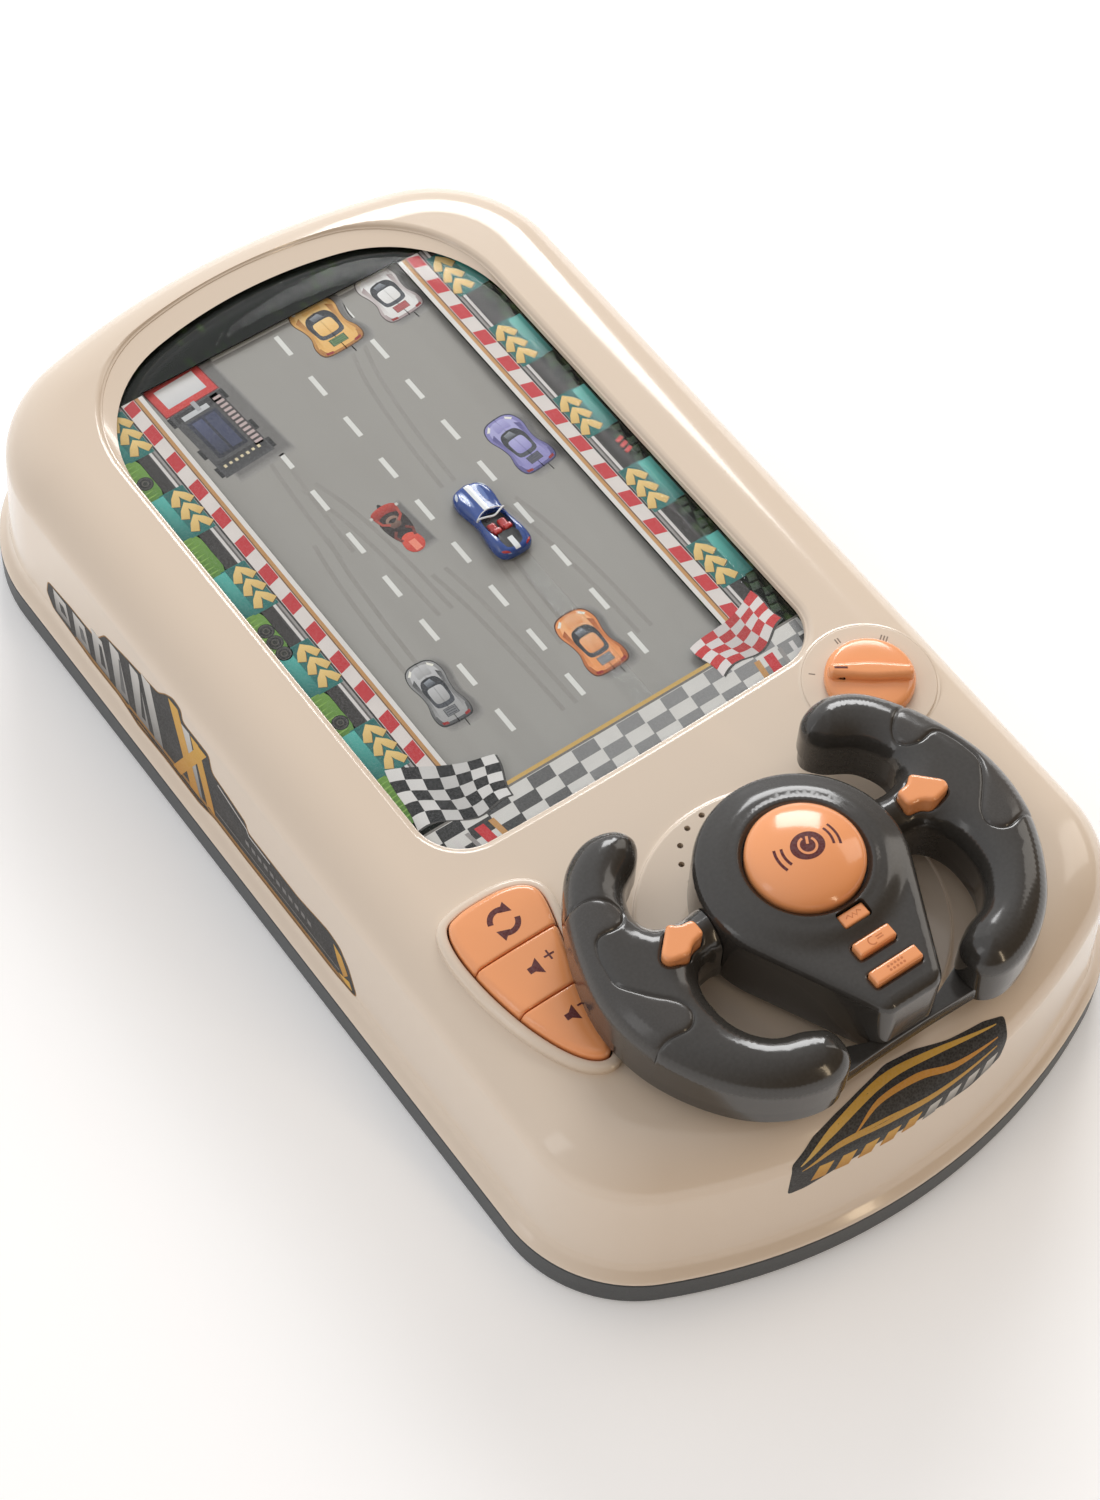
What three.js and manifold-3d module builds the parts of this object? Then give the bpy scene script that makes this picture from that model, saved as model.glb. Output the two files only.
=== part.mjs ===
// Table-top driving game: a cream body with a window over a printed road belt, a steering
// wheel that slides a small car across the road, push buttons and a turning selector knob.
// Millimetres, +Z up. X is across the toy, +Y points away from the player, Z = 0 is the table.

import * as THREE from 'three';
import { mergeVertices } from 'three/addons/utils/BufferGeometryUtils.js';
import Module from 'manifold-3d';

const wasm = await Module();
wasm.setup();

// ---------------------------------------------------------------- driving dimensions

const GAP = 0.3; // running gap kept between touching pieces
const WALL = 2.4; // moulded wall thickness

// Body outline at the foot of the casing, drawn with arcs that meet smoothly.
const BODY = { half: 107.5, near: -195, far: 195, nearArc: 190, nearCorner: 45, farArc: 265, farCorner: 52 };
const BASE_BOTTOM = 1.5;
const BASE_TOP = 9;
const BASE_FLOOR = 3.9;
const SHELL_TOP = 66.8;
const SHOULDER = { start: 52.8, inset: 6, width: 20 }; // large soft rounding into the top panel

// Window over the road.
const WINDOW = { half: 72.2, near: -53.5, far: 175.8, nearArc: 2000, nearCorner: 17, farArc: 150, farCorner: 48 };
const BEVEL = 3.6;
const SKIRT_BOTTOM = 64.1;
const FLANGE = { bottom: 62.9, top: 63.8 };
const CARD = { bottom: 62, top: 62.6, inner: 49.5, near: -35.9, far: 150.1 };

// Road belt round two rollers.
const BELT = { half: 51.5, top: 60.6, thick: 0.7, nearY: -42, farY: 160 };
const ROLLER_R = 10.5;
const BELT_INNER_R = ROLLER_R + GAP;
const BELT_OUTER_R = BELT_INNER_R + BELT.thick;
const AXLE_Z = BELT.top - BELT_OUTER_R;
const AXLE_R = 2;
const FRAME_X = 54; // inner face of each side frame
const FRAME_THICK = 3;

// Gear train of the road drive, all on axes parallel to X.
const GEAR_MODULE = 0.8;
const TEETH = { roller: 24, reduction: 28, small: 8, motor: 8 };

// Steering.
const WHEEL_Y = -124.7;
const WHEEL_BOTTOM = 74;
const WHEEL_SPLIT = 80;
const GRIP_TOP = 98;
const HUB = { r: 31.6, shoulder: 98.6, top: 103.6, noseTop: 100.8, noseHalf: 12, noseEnd: -51 };
const STEER_TEETH = 24;
const STEER_MODULE = 2;
const STEER_PITCH_R = (STEER_TEETH * STEER_MODULE) / 2;
const RACK = { low: 46.5, high: 50.5, start: -34, end: 62 };
const RAIL = { y: -90, z: 48.5, r: 2.5 };
const CAR = { x: 14, y: 43, bottom: 62, length: 31, width: 13.4 };

// Buttons, knob and other things on the top panel.
const HORN_R = 17.4;
const ARROW_X = 43;
const KNOB = { x: 71.5, y: -71.5, r: 14, bottom: 67.6, top: 74.6 };
const DISC_R = 46.5;
const SPEAKER = { y: -97.4, ring: 16.4, holes: 16, r: 18.5 };

// ---------------------------------------------------------------- materials

const plastic = (color, roughness) => new THREE.MeshStandardMaterial({ color, roughness, metalness: 0 });
const metal = (color, roughness) => new THREE.MeshStandardMaterial({ color, roughness, metalness: 1 });
const cream = plastic(0xdcd0c1, 0.22);
const charcoal = plastic(0x2f3334, 0.5);
const wheelGrey = plastic(0x3c3a38, 0.3);
const orange = plastic(0xf2a268, 0.22);
const clear = new THREE.MeshStandardMaterial({ color: 0xf4f8fa, roughness: 0.05, transparent: true, opacity: 0.2 });
const roadGrey = plastic(0xa3a19c, 0.5);
const card = plastic(0x3f7a4a, 0.5);
const inside = plastic(0x24262a, 0.55);
const gearWhite = plastic(0xe9e6dc, 0.45);
const board = plastic(0x1f6b3d, 0.4);
const carBlue = plastic(0x1d3f8f, 0.2);
const cellSleeve = plastic(0x9aa0a6, 0.35);
const steel = metal(0xc9ccd0, 0.3);
const rubber = plastic(0x1b1b1b, 0.9);

// ---------------------------------------------------------------- solids

const toy = new THREE.Group();

/** Turns a closed three.js geometry into a solid, facing outwards. */
function solid(geometry) {
  const bare = geometry.clone();
  for (const name of ['normal', 'uv']) bare.deleteAttribute(name);
  const merged = mergeVertices(bare, 1e-4);
  const position = merged.attributes.position;
  const index = merged.index.array;
  const kept = [];
  let volume = 0;
  const [a, b, c] = [new THREE.Vector3(), new THREE.Vector3(), new THREE.Vector3()];
  for (let i = 0; i < index.length; i += 3) {
    const [p, q, r] = [index[i], index[i + 1], index[i + 2]];
    if (p === q || q === r || p === r) continue;
    a.fromBufferAttribute(position, p);
    b.fromBufferAttribute(position, q);
    c.fromBufferAttribute(position, r);
    volume += a.dot(b.cross(c));
    kept.push(p, q, r);
  }
  if (volume < 0) kept.reverse();
  const mesh = new wasm.Mesh({
    numProp: 3,
    vertProperties: new Float32Array(position.array),
    triVerts: new Uint32Array(kept),
  });
  return new wasm.Manifold(mesh);
}

/** Joins solids, then takes the cutters away. */
function join(solids, cutters = []) {
  const whole = solids.reduce((sum, part) => sum.add(part));
  return cutters.reduce((left, cutter) => left.subtract(cutter), whole);
}

/** Adds a solid to the toy, or to a turned or shifted group of it, as one named mesh. */
function place(name, body, material, parent = toy) {
  const { vertProperties, triVerts } = body.getMesh();
  const geometry = new THREE.BufferGeometry();
  geometry.setAttribute('position', new THREE.BufferAttribute(new Float32Array(vertProperties), 3));
  geometry.setIndex(new THREE.BufferAttribute(new Uint32Array(triVerts), 1));
  const flat = geometry.toNonIndexed();
  flat.computeVertexNormals();
  const mesh = new THREE.Mesh(flat, material);
  mesh.name = name;
  parent.add(mesh);
}

const shapeOf = (points) => new THREE.Shape(points.map(([x, y]) => new THREE.Vector2(x, y)));

/** Upright prism of an outline between two heights. */
function prism(points, low, high) {
  const geometry = new THREE.ExtrudeGeometry(shapeOf(points), { depth: high - low, bevelEnabled: false });
  geometry.translate(0, 0, low);
  return solid(geometry);
}

/** Upright prism with a rounded top edge. */
function domedPrism(points, low, high, round, steps = 2) {
  const rings = Array.from({ length: steps + 1 }, (_, i) => {
    const angle = (Math.PI / 2) * (i / steps);
    return { points: inset(points, round * (1 - Math.cos(angle))), z: high - round + round * Math.sin(angle) };
  });
  return loft([{ points: inset(points, 0), z: low }, ...rings]);
}

/** Box between two corners. */
function block(low, high) {
  const size = high.map((value, i) => value - low[i]);
  const geometry = new THREE.BoxGeometry(...size);
  geometry.translate(...low.map((value, i) => value + size[i] / 2));
  return solid(geometry);
}

/** Upright cylinder. */
function post(x, y, r, low, high, sides = 16) {
  const geometry = new THREE.CylinderGeometry(r, r, high - low, sides);
  geometry.rotateX(Math.PI / 2);
  geometry.translate(x, y, (low + high) / 2);
  return solid(geometry);
}

/** Cylinder along X. */
function rod(y, z, r, left, right, sides = 16) {
  const geometry = new THREE.CylinderGeometry(r, r, right - left, sides);
  geometry.rotateZ(Math.PI / 2);
  geometry.translate((left + right) / 2, y, z);
  return solid(geometry);
}

/** Solid of revolution about an upright axis; the profile is [radius, height] pairs. */
function turned(profile, x, y, sides = 32) {
  const geometry = new THREE.LatheGeometry(profile.map(([r, h]) => new THREE.Vector2(r, h)), sides);
  geometry.rotateX(Math.PI / 2);
  geometry.translate(x, y, 0);
  return solid(geometry);
}

/** Extrudes an outline drawn in the Y-Z plane along X. */
function sideways(points, left, right) {
  const geometry = new THREE.ExtrudeGeometry(shapeOf(points), { depth: right - left, bevelEnabled: false });
  const turn = new THREE.Matrix4().makeBasis(
    new THREE.Vector3(0, 1, 0),
    new THREE.Vector3(0, 0, 1),
    new THREE.Vector3(1, 0, 0),
  );
  geometry.applyMatrix4(turn);
  geometry.translate(left, 0, 0);
  return solid(geometry);
}

// ---------------------------------------------------------------- outlines

/** Points of an arc, angles in degrees, counted without the last one. */
function arc(x, y, r, from, to, steps) {
  return Array.from({ length: steps }, (_, i) => {
    const angle = THREE.MathUtils.degToRad(from + ((to - from) * i) / steps);
    return [x + r * Math.cos(angle), y + r * Math.sin(angle)];
  });
}

/** Outline of two straight sides, four corners and two bowed ends, pulled in by an offset. */
function bowed(spec, offset = 0, cornerSteps = 6, endSteps = 6) {
  const corner = (endArc, cornerR, tip, sign) => {
    const across = spec.half - cornerR;
    const along = Math.sqrt((endArc - cornerR) ** 2 - across ** 2);
    const centre = tip - sign * endArc;
    const swing = THREE.MathUtils.radToDeg(Math.atan2(along, across));
    return { across, centre, y: centre + sign * along, swing };
  };
  const far = corner(spec.farArc, spec.farCorner, spec.far, 1);
  const near = corner(spec.nearArc, spec.nearCorner, spec.near, -1);
  const farR = spec.farCorner - offset;
  const nearR = spec.nearCorner - offset;
  return [
    ...arc(far.across, far.y, farR, 0, far.swing, cornerSteps),
    ...arc(0, far.centre, spec.farArc - offset, far.swing, 180 - far.swing, endSteps),
    ...arc(-far.across, far.y, farR, 180 - far.swing, 180, cornerSteps),
    [-spec.half + offset, far.y],
    ...arc(-near.across, near.y, nearR, 180, 180 + near.swing, cornerSteps),
    ...arc(0, near.centre, spec.nearArc - offset, 180 + near.swing, 360 - near.swing, endSteps),
    ...arc(near.across, near.y, nearR, 360 - near.swing, 360, cornerSteps),
    [spec.half - offset, near.y],
  ];
}

/** Closed skin over rings of equal length, with a flat cap at each end. */
function loft(rings) {
  const count = rings[0].points.length;
  const position = rings.flatMap(({ points, z }) => points.flatMap(([x, y]) => [x, y, z]));
  const index = [];
  for (let ring = 0; ring + 1 < rings.length; ring++) {
    for (let i = 0; i < count; i++) {
      const next = (i + 1) % count;
      const [a, b] = [ring * count + i, ring * count + next];
      index.push(a, b, b + count, a, b + count, a + count);
    }
  }
  const cap = THREE.ShapeUtils.triangulateShape(rings[0].points.map(([x, y]) => new THREE.Vector2(x, y)), []);
  const top = (rings.length - 1) * count;
  for (const [a, b, c] of cap) index.push(c, b, a, top + a, top + b, top + c);
  const geometry = new THREE.BufferGeometry();
  geometry.setAttribute('position', new THREE.BufferAttribute(new Float32Array(position), 3));
  geometry.setIndex(index);
  return solid(geometry);
}

/** Loft of one bowed outline at several [offset, height] steps. */
const bowedLoft = (spec, steps) => loft(steps.map(([offset, z]) => ({ points: bowed(spec, offset), z })));

/** Pulls an outline in by a distance, or pushes it out if negative; returns it counter-clockwise. */
function inset(outline, distance) {
  const clockwise = THREE.ShapeUtils.isClockWise(outline.map(([x, y]) => new THREE.Vector2(x, y)));
  const points = clockwise ? outline.slice().reverse() : outline;
  const count = points.length;
  return points.map(([x, y], i) => {
    const [px, py] = points[(i + count - 1) % count];
    const [nx, ny] = points[(i + 1) % count];
    const before = new THREE.Vector2(x - px, y - py).normalize();
    const after = new THREE.Vector2(nx - x, ny - y).normalize();
    const normal = new THREE.Vector2(-before.y - after.y, before.x + after.x).normalize();
    const stretch = distance / Math.max(0.4, normal.x * -before.y + normal.y * before.x);
    return [x + normal.x * stretch, y + normal.y * stretch];
  });
}

/** Smooth closed outline through a few points. */
function smooth(points, steps) {
  const curve = new THREE.CatmullRomCurve3(points.map(([x, y]) => new THREE.Vector3(x, y, 0)), true);
  return curve.getSpacedPoints(steps).slice(0, steps).map(({ x, y }) => [x, y]);
}


/** Outline of a spur gear with straight-flanked teeth; a tooth sits at angle start. */
function gearOutline(teeth, module, start) {
  const pitchR = (teeth * module) / 2;
  const pitch = 360 / teeth;
  const rootR = pitchR - 1.2 * module;
  const tipR = pitchR + 0.75 * module;
  const at = (r, degrees) => {
    const angle = THREE.MathUtils.degToRad(degrees);
    return [r * Math.cos(angle), r * Math.sin(angle)];
  };
  return Array.from({ length: teeth }, (_, i) => start + i * pitch).flatMap((middle) => [
    at(rootR, middle - 0.3 * pitch),
    at(tipR, middle - 0.11 * pitch),
    at(tipR, middle + 0.11 * pitch),
    at(rootR, middle + 0.3 * pitch),
  ]);
}

const shifted = (points, dx, dy) => points.map(([x, y]) => [x + dx, y + dy]);

// ---------------------------------------------------------------- controls on the top panel

// Key pad beside the wheel: one outline, split into three keys.
const POD = [
  [-84.5, -71.5], [-86.6, -80], [-86.2, -94], [-83.6, -109], [-79.5, -121], [-75, -128],
  [-70.4, -130], [-67.4, -126], [-64.6, -114], [-59, -92], [-55.4, -77.6], [-57.4, -72],
  [-64, -69.2], [-73, -68.6], [-80, -69.2],
];
const POD_TOP = 69.6;
const POD_SPLITS = [-87.8, -106.4];
const POD_SURROUND = 3;

const ARROW = [[-8.2, -1.4], [-7.4, -4.2], [-1, -5.6], [1.6, -3.2], [6.4, -2.4], [6.4, 3.2], [1.8, 3.6], [-0.6, 6.2]];
const ARROW_Y = 0.6;
const NOSE_KEYS = [
  { y: -21.9, half: 4.6 },
  { y: -31.3, half: 6.4 },
  { y: -40.8, half: 8.2 },
];
const NOSE_KEY_DEPTH = 4.6;

// Screws near the casing's corners, driven up from below.
const SCREWS = [[-84, 118], [84, 118], [-80, -138], [80, -138]];
const FEET = [[-72, 140], [72, 140], [-66, -148], [66, -148]];

// ---------------------------------------------------------------- lower base

const DOOR = { left: -34, right: 34, near: 30, far: 92 };
const MOTOR = { y: BELT.nearY + (GEAR_MODULE * (TEETH.reduction + TEETH.motor)) / 2, r: 10, left: 68, right: 93 };
const REDUCTION_Z = AXLE_Z - (GEAR_MODULE * (TEETH.roller + TEETH.small)) / 2;
const TOWER = { half: 9, top: 40, pocket: 34 };

function lowerBase() {
  const tray = bowedLoft(BODY, [[1.4, BASE_BOTTOM], [0, BASE_BOTTOM + 1.4], [0, BASE_TOP]]);
  const hollow = bowedLoft(BODY, [[WALL, BASE_FLOOR], [WALL, BASE_TOP + 1]]);
  const doorway = block([DOOR.left - GAP, DOOR.near - GAP, 0], [DOOR.right + GAP, DOOR.far + GAP, BASE_FLOOR + 1]);
  const bosses = SCREWS.map(([x, y]) => post(x, y, 4.5, BASE_FLOOR - 1, BASE_TOP, 12));
  const bores = SCREWS.flatMap(([x, y]) => [post(x, y, 1.8, 0, 12, 8), post(x, y, 3.2, 0, 4.2, 12)]);
  const motorSeat = join(
    [block([70, MOTOR.y - 11.5, BASE_FLOOR - 1], [92, MOTOR.y + 11.5, REDUCTION_Z - 3])],
    [rod(MOTOR.y, REDUCTION_Z, MOTOR.r + GAP, 60, 100)],
  );
  const tower = join(
    [block([-TOWER.half, WHEEL_Y - TOWER.half, BASE_FLOOR - 1], [TOWER.half, WHEEL_Y + TOWER.half, TOWER.top])],
    [post(0, WHEEL_Y, 4.4, TOWER.pocket, TOWER.top + 1)],
  );
  return join([join([tray], [hollow, doorway]), ...bosses, motorSeat, tower], bores);
}

place('lower_base', lowerBase(), charcoal);

// ---------------------------------------------------------------- upper shell

/** [offset, height] steps of the casing wall: flared lip, drafted wall, soft shoulder. */
function wallSteps() {
  const lip = [[0, 0], [0, 1.6], [1.4, 4.2], [3.2, 7.2], [4, 10.4]];
  const foot = BASE_TOP + GAP;
  const shoulder = [0, 18, 36, 54, 72, 90].map((degrees) => {
    const angle = THREE.MathUtils.degToRad(degrees);
    const rise = (SHELL_TOP - SHOULDER.start) * Math.sin(angle);
    return [SHOULDER.inset + SHOULDER.width * (1 - Math.cos(angle)), SHOULDER.start + rise];
  });
  return [...lip.map(([offset, rise]) => [offset, foot + rise]), ...shoulder];
}

function upperShell() {
  const steps = wallSteps();
  const outer = bowedLoft(BODY, steps);
  const inner = bowedLoft(BODY, [
    [WALL, steps[0][1] - 1],
    [WALL, steps[1][1] - 0.8],
    ...steps.slice(3).map(([offset, z]) => [offset + WALL, z - WALL * Math.max(0, (z - 30) / (SHELL_TOP - 30))]),
  ]);
  const skirt = bowedLoft(WINDOW, [[-WALL, SKIRT_BOTTOM], [-WALL, SHELL_TOP - 1]]);
  const opening = bowedLoft(WINDOW, [[BEVEL + 0.4, SKIRT_BOTTOM - 4], [BEVEL + 0.4, SKIRT_BOTTOM - 0.1],
    [BEVEL, SKIRT_BOTTOM + 0.3], [-0.5, SHELL_TOP + 0.6]]);
  const lensSeat = bowedLoft(WINDOW, [[-1.7, SHOULDER.start], [-1.7, SKIRT_BOTTOM]]);
  const panel = SHELL_TOP - 1.6;
  const disc = post(0, WHEEL_Y, DISC_R, panel, SHELL_TOP + 1.5, 40);
  const collar = post(0, WHEEL_Y, 13, panel, WHEEL_BOTTOM - 1.2, 24);
  const knobPad = post(KNOB.x, KNOB.y, 20.8, panel, SHELL_TOP + 0.5, 32);
  const surround = domedPrism(inset(POD, -POD_SURROUND), panel, POD_TOP, 1.2, 1);
  const posts = SCREWS.map(([x, y]) => post(x, y, 4.5, BASE_TOP + GAP, SHELL_TOP - 2, 10));
  const bores = SCREWS.map(([x, y]) => post(x, y, 1.8, 0, 26, 8));
  const raised = [outer, disc, collar, knobPad, surround];
  const holes = Array.from({ length: SPEAKER.holes }, (_, i) => {
    const angle = (2 * Math.PI * i) / SPEAKER.holes;
    return post(SPEAKER.ring * Math.cos(angle), SPEAKER.y + SPEAKER.ring * Math.sin(angle), 0.9, 50, 80, 6);
  });
  const shaftBore = post(0, WHEEL_Y, 4.4, 40, 80, 16);
  const knobBore = post(KNOB.x, KNOB.y, 4.8, 40, 80, 16);
  const podBore = prism(inset(POD, -0.4), 50, 80);
  const hollowed = join(raised, [inner]);
  return join([join([hollowed], [lensSeat]), skirt, ...posts], [opening, ...holes, shaftBore, knobBore, podBore, ...bores]);
}

place('upper_shell', upperShell(), cream);

// ---------------------------------------------------------------- window lens and scenery card

function windowLens() {
  const crown = [[BEVEL + 0.9, FLANGE.top], [BEVEL + 1.2, 66], [6.6, 67.8], [9.6, 68.8], [14, 69.3]];
  const thick = 1.1;
  const flange = bowedLoft(WINDOW, [[-1.4, FLANGE.bottom], [-1.4, FLANGE.top]]);
  const dome = bowedLoft(WINDOW, [[BEVEL + 0.9, FLANGE.bottom], ...crown]);
  const under = bowedLoft(WINDOW, [
    [BEVEL + 2, FLANGE.bottom - 1],
    ...crown.map(([offset, z]) => [offset + thick, z - (z > 65 ? thick : 0)]),
  ]);
  return join([flange, dome], [under]);
}

place('window_lens', windowLens(), clear);

// One printed card: forest, both kerbs and the chequered strip, with the road showing through it.
function sceneryCard() {
  const sheet = bowedLoft(WINDOW, [[-1.4, CARD.bottom], [-1.4, CARD.top]]);
  return join([sheet], [block([-CARD.inner, CARD.near, CARD.bottom - 1], [CARD.inner, CARD.far, CARD.top + 1])]);
}

place('scenery_card', sceneryCard(), card);

// ---------------------------------------------------------------- road belt, deck and frames

/** Outline of the belt loop in the Y-Z plane. */
const beltLoop = (r) => [
  ...arc(BELT.farY, AXLE_Z, r, -90, 90, 12), [BELT.farY, AXLE_Z + r],
  ...arc(BELT.nearY, AXLE_Z, r, 90, 270, 12), [BELT.nearY, AXLE_Z - r],
];

const beltOuter = sideways(beltLoop(BELT_OUTER_R), -BELT.half, BELT.half);
const beltInner = sideways(beltLoop(BELT_INNER_R), -BELT.half - 1, BELT.half + 1);
place('road_belt', join([beltOuter], [beltInner]), roadGrey);

const DECK = { near: -28, far: 146, thick: 1.6, half: FRAME_X - GAP };
const deckTop = AXLE_Z + BELT_INNER_R - GAP;
function beltDeck() {
  const plate = block([-DECK.half, DECK.near, deckTop - DECK.thick], [DECK.half, DECK.far, deckTop]);
  const ribs = [-10, 55, 120].map((y) => block([-DECK.half, y, deckTop - 8], [DECK.half, y + 2, deckTop - 1]));
  return join([plate, ...ribs]);
}
place('belt_deck', beltDeck(), inside);

function sideFrame(side) {
  const [left, right] = side < 0 ? [-FRAME_X - FRAME_THICK, -FRAME_X] : [FRAME_X, FRAME_X + FRAME_THICK];
  const top = CARD.bottom - GAP;
  const plate = block([left, -58, BASE_FLOOR + GAP], [right, 170, top]);
  const cutaways = [[-24, 28], [42, 94], [108, 146]].map(([near, far]) => block([left - 1, near, 14], [right + 1, far, 40]));
  const bores = [BELT.nearY, BELT.farY].map((y) => rod(y, AXLE_Z, AXLE_R + 0.35, left - 1, right + 1));
  return join([plate], [...cutaways, ...bores, rod(BELT.nearY, REDUCTION_Z, 1.8, left - 1, right + 1, 12)]);
}
place('side_frame_left', sideFrame(-1), inside);
place('side_frame_right', sideFrame(1), inside);

function roller(y, axleLeft, axleRight) {
  const end = FRAME_X - 1.5;
  return join([rod(y, AXLE_Z, ROLLER_R, -end, end, 24), rod(y, AXLE_Z, AXLE_R, axleLeft, axleRight)]);
}
place('drive_roller', roller(BELT.nearY, -FRAME_X - 5, 62.2), charcoal);
place('idler_roller', roller(BELT.farY, -FRAME_X - 5, FRAME_X + 5), charcoal);

// ---------------------------------------------------------------- motor and gears

const gearAt = (teeth, start, y, z, left, right) => sideways(
  shifted(gearOutline(teeth, GEAR_MODULE, start), y, z),
  left,
  right,
);
const halfPitch = (teeth) => 180 / teeth;
const GEAR_PLANE = { inner: [58.2, 62.2], outer: [62.6, 66.6] };

// The roller gear is driven from below by the reduction gear's small pinion.
const rollerGear = gearAt(TEETH.roller, -90, BELT.nearY, AXLE_Z, ...GEAR_PLANE.inner);
place('roller_gear', join([rollerGear], [rod(BELT.nearY, AXLE_Z, AXLE_R + GAP, 50, 70)]), gearWhite);

function reductionGear() {
  const large = gearAt(TEETH.reduction, 0, BELT.nearY, REDUCTION_Z, ...GEAR_PLANE.outer);
  const [start, end] = [GEAR_PLANE.inner[0], GEAR_PLANE.outer[0] + 1];
  const small = gearAt(TEETH.small, 90 + halfPitch(TEETH.small), BELT.nearY, REDUCTION_Z, start, end);
  return join([large, small], [rod(BELT.nearY, REDUCTION_Z, 1.85, 50, 70, 12)]);
}
place('reduction_gear', reductionGear(), gearWhite);
place('reduction_pin', rod(BELT.nearY, REDUCTION_Z, 1.45, FRAME_X + 0.5, 67.4, 12), steel);

const motorGear = gearAt(TEETH.motor, 180 + halfPitch(TEETH.motor), MOTOR.y, REDUCTION_Z, ...GEAR_PLANE.outer);
place('motor_pinion', join([motorGear, rod(MOTOR.y, REDUCTION_Z, 1, 62, MOTOR.left - GAP, 10)]), steel);

function motor() {
  const can = rod(MOTOR.y, REDUCTION_Z, MOTOR.r, MOTOR.left, MOTOR.right, 24);
  const flats = [-1, 1].map((side) => {
    const edges = [REDUCTION_Z + side * 7.7, REDUCTION_Z + side * 14].sort((a, b) => a - b);
    return block([60, MOTOR.y - 14, edges[0]], [100, MOTOR.y + 14, edges[1]]);
  });
  return join([join([can], flats), rod(MOTOR.y, REDUCTION_Z, 4, MOTOR.right - 1, MOTOR.right + 2)]);
}
place('motor', motor(), steel);

// ---------------------------------------------------------------- steering wheel

const wheel = new THREE.Group();
wheel.position.set(0, WHEEL_Y, 0);
toy.add(wheel);

// Left grip with its horn above and its tail below, drawn about the steering axis.
const GRIP = smooth([
  [-26, 8.8], [-38, 9.2], [-44.5, 11.6], [-46.3, 18], [-42.6, 26], [-34.6, 31.6], [-30.9, 37.6],
  [-34.6, 43.6], [-44, 45.2], [-54, 40], [-62.2, 28.6], [-68.2, 14], [-71.2, -1], [-69.8, -17],
  [-64, -31.6], [-54.6, -44.6], [-43, -53], [-31, -56], [-23.4, -52.4], [-22.8, -43.6],
  [-29, -38.6], [-38, -35], [-44, -26.4], [-45, -14.4], [-41, -6.4], [-34, -4.4], [-26, -5],
], 72);

// C-shaped soft inlay let into the outer edge of the left grip.
const INLAY = [
  [-80, 36], [-62.4, 28.3], [-56, 27], [-50.6, 22.6], [-49.4, 18], [-53.4, 14.2], [-61.6, 15.6],
  [-64.4, 9.6], [-65.8, 0.4], [-61.6, -6], [-54, -14], [-52.8, -18.6], [-56.6, -22.8], [-66, -20.8],
  [-72, -24], [-80, -30],
];

/** Keyhole outline of the hub: a round boss that runs down into a rounded nose. */
const hubOutline = (grow = 0) => inset([
  ...arc(0, 0, HUB.r, -28, 208, 26),
  ...arc(-HUB.noseHalf + 6, HUB.noseEnd + 6, 6, 200, 262, 3),
  ...arc(HUB.noseHalf - 6, HUB.noseEnd + 6, 6, 278, 340, 3),
], -grow);

const hubClear = prism(hubOutline(GAP), WHEEL_BOTTOM - 1, HUB.top + 5);
const arrowPocket = prism(shifted(inset(ARROW, -0.35), -ARROW_X, ARROW_Y), GRIP_TOP - 6.5, GRIP_TOP + 5);

/** Flips a solid drawn on the left to the right side. */
const flip = (body) => body.mirror([1, 0, 0]);

const gripBlank = domedPrism(GRIP, WHEEL_SPLIT + GAP, GRIP_TOP, 6, 3);
const inlayCut = prism(INLAY, WHEEL_SPLIT, GRIP_TOP + 5);
const inlayFill = prism(inset(INLAY, GAP), WHEEL_SPLIT - 1, GRIP_TOP + 5);
const leftGrip = join([gripBlank], [inlayCut, hubClear, arrowPocket]);
const leftInlay = gripBlank.intersect(inlayFill);

place('grip_left', leftGrip, wheelGrey, wheel);
place('grip_right', flip(leftGrip), wheelGrey, wheel);
place('grip_inlay_left', leftInlay, wheelGrey, wheel);
place('grip_inlay_right', flip(leftInlay), wheelGrey, wheel);

// The back of the wheel closes both grips, the hub and the low bridge between tail and nose.
const BRIDGE = [[-30, -40], [-10, -48], [10, -48], [30, -40], [30, -52], [8, -51.4], [-8, -51.4], [-30, -52]];
function wheelBack() {
  const flat = (points) => prism(inset(points, 0.8), WHEEL_BOTTOM, WHEEL_SPLIT);
  const half = join([flat(GRIP)]);
  return join(
    [half, flip(half), flat(hubOutline()), prism(BRIDGE, WHEEL_BOTTOM, WHEEL_SPLIT)],
    [post(0, 0, 4.3, WHEEL_BOTTOM - 1, WHEEL_SPLIT + 1)],
  );
}
place('wheel_back', wheelBack(), wheelGrey, wheel);

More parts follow.
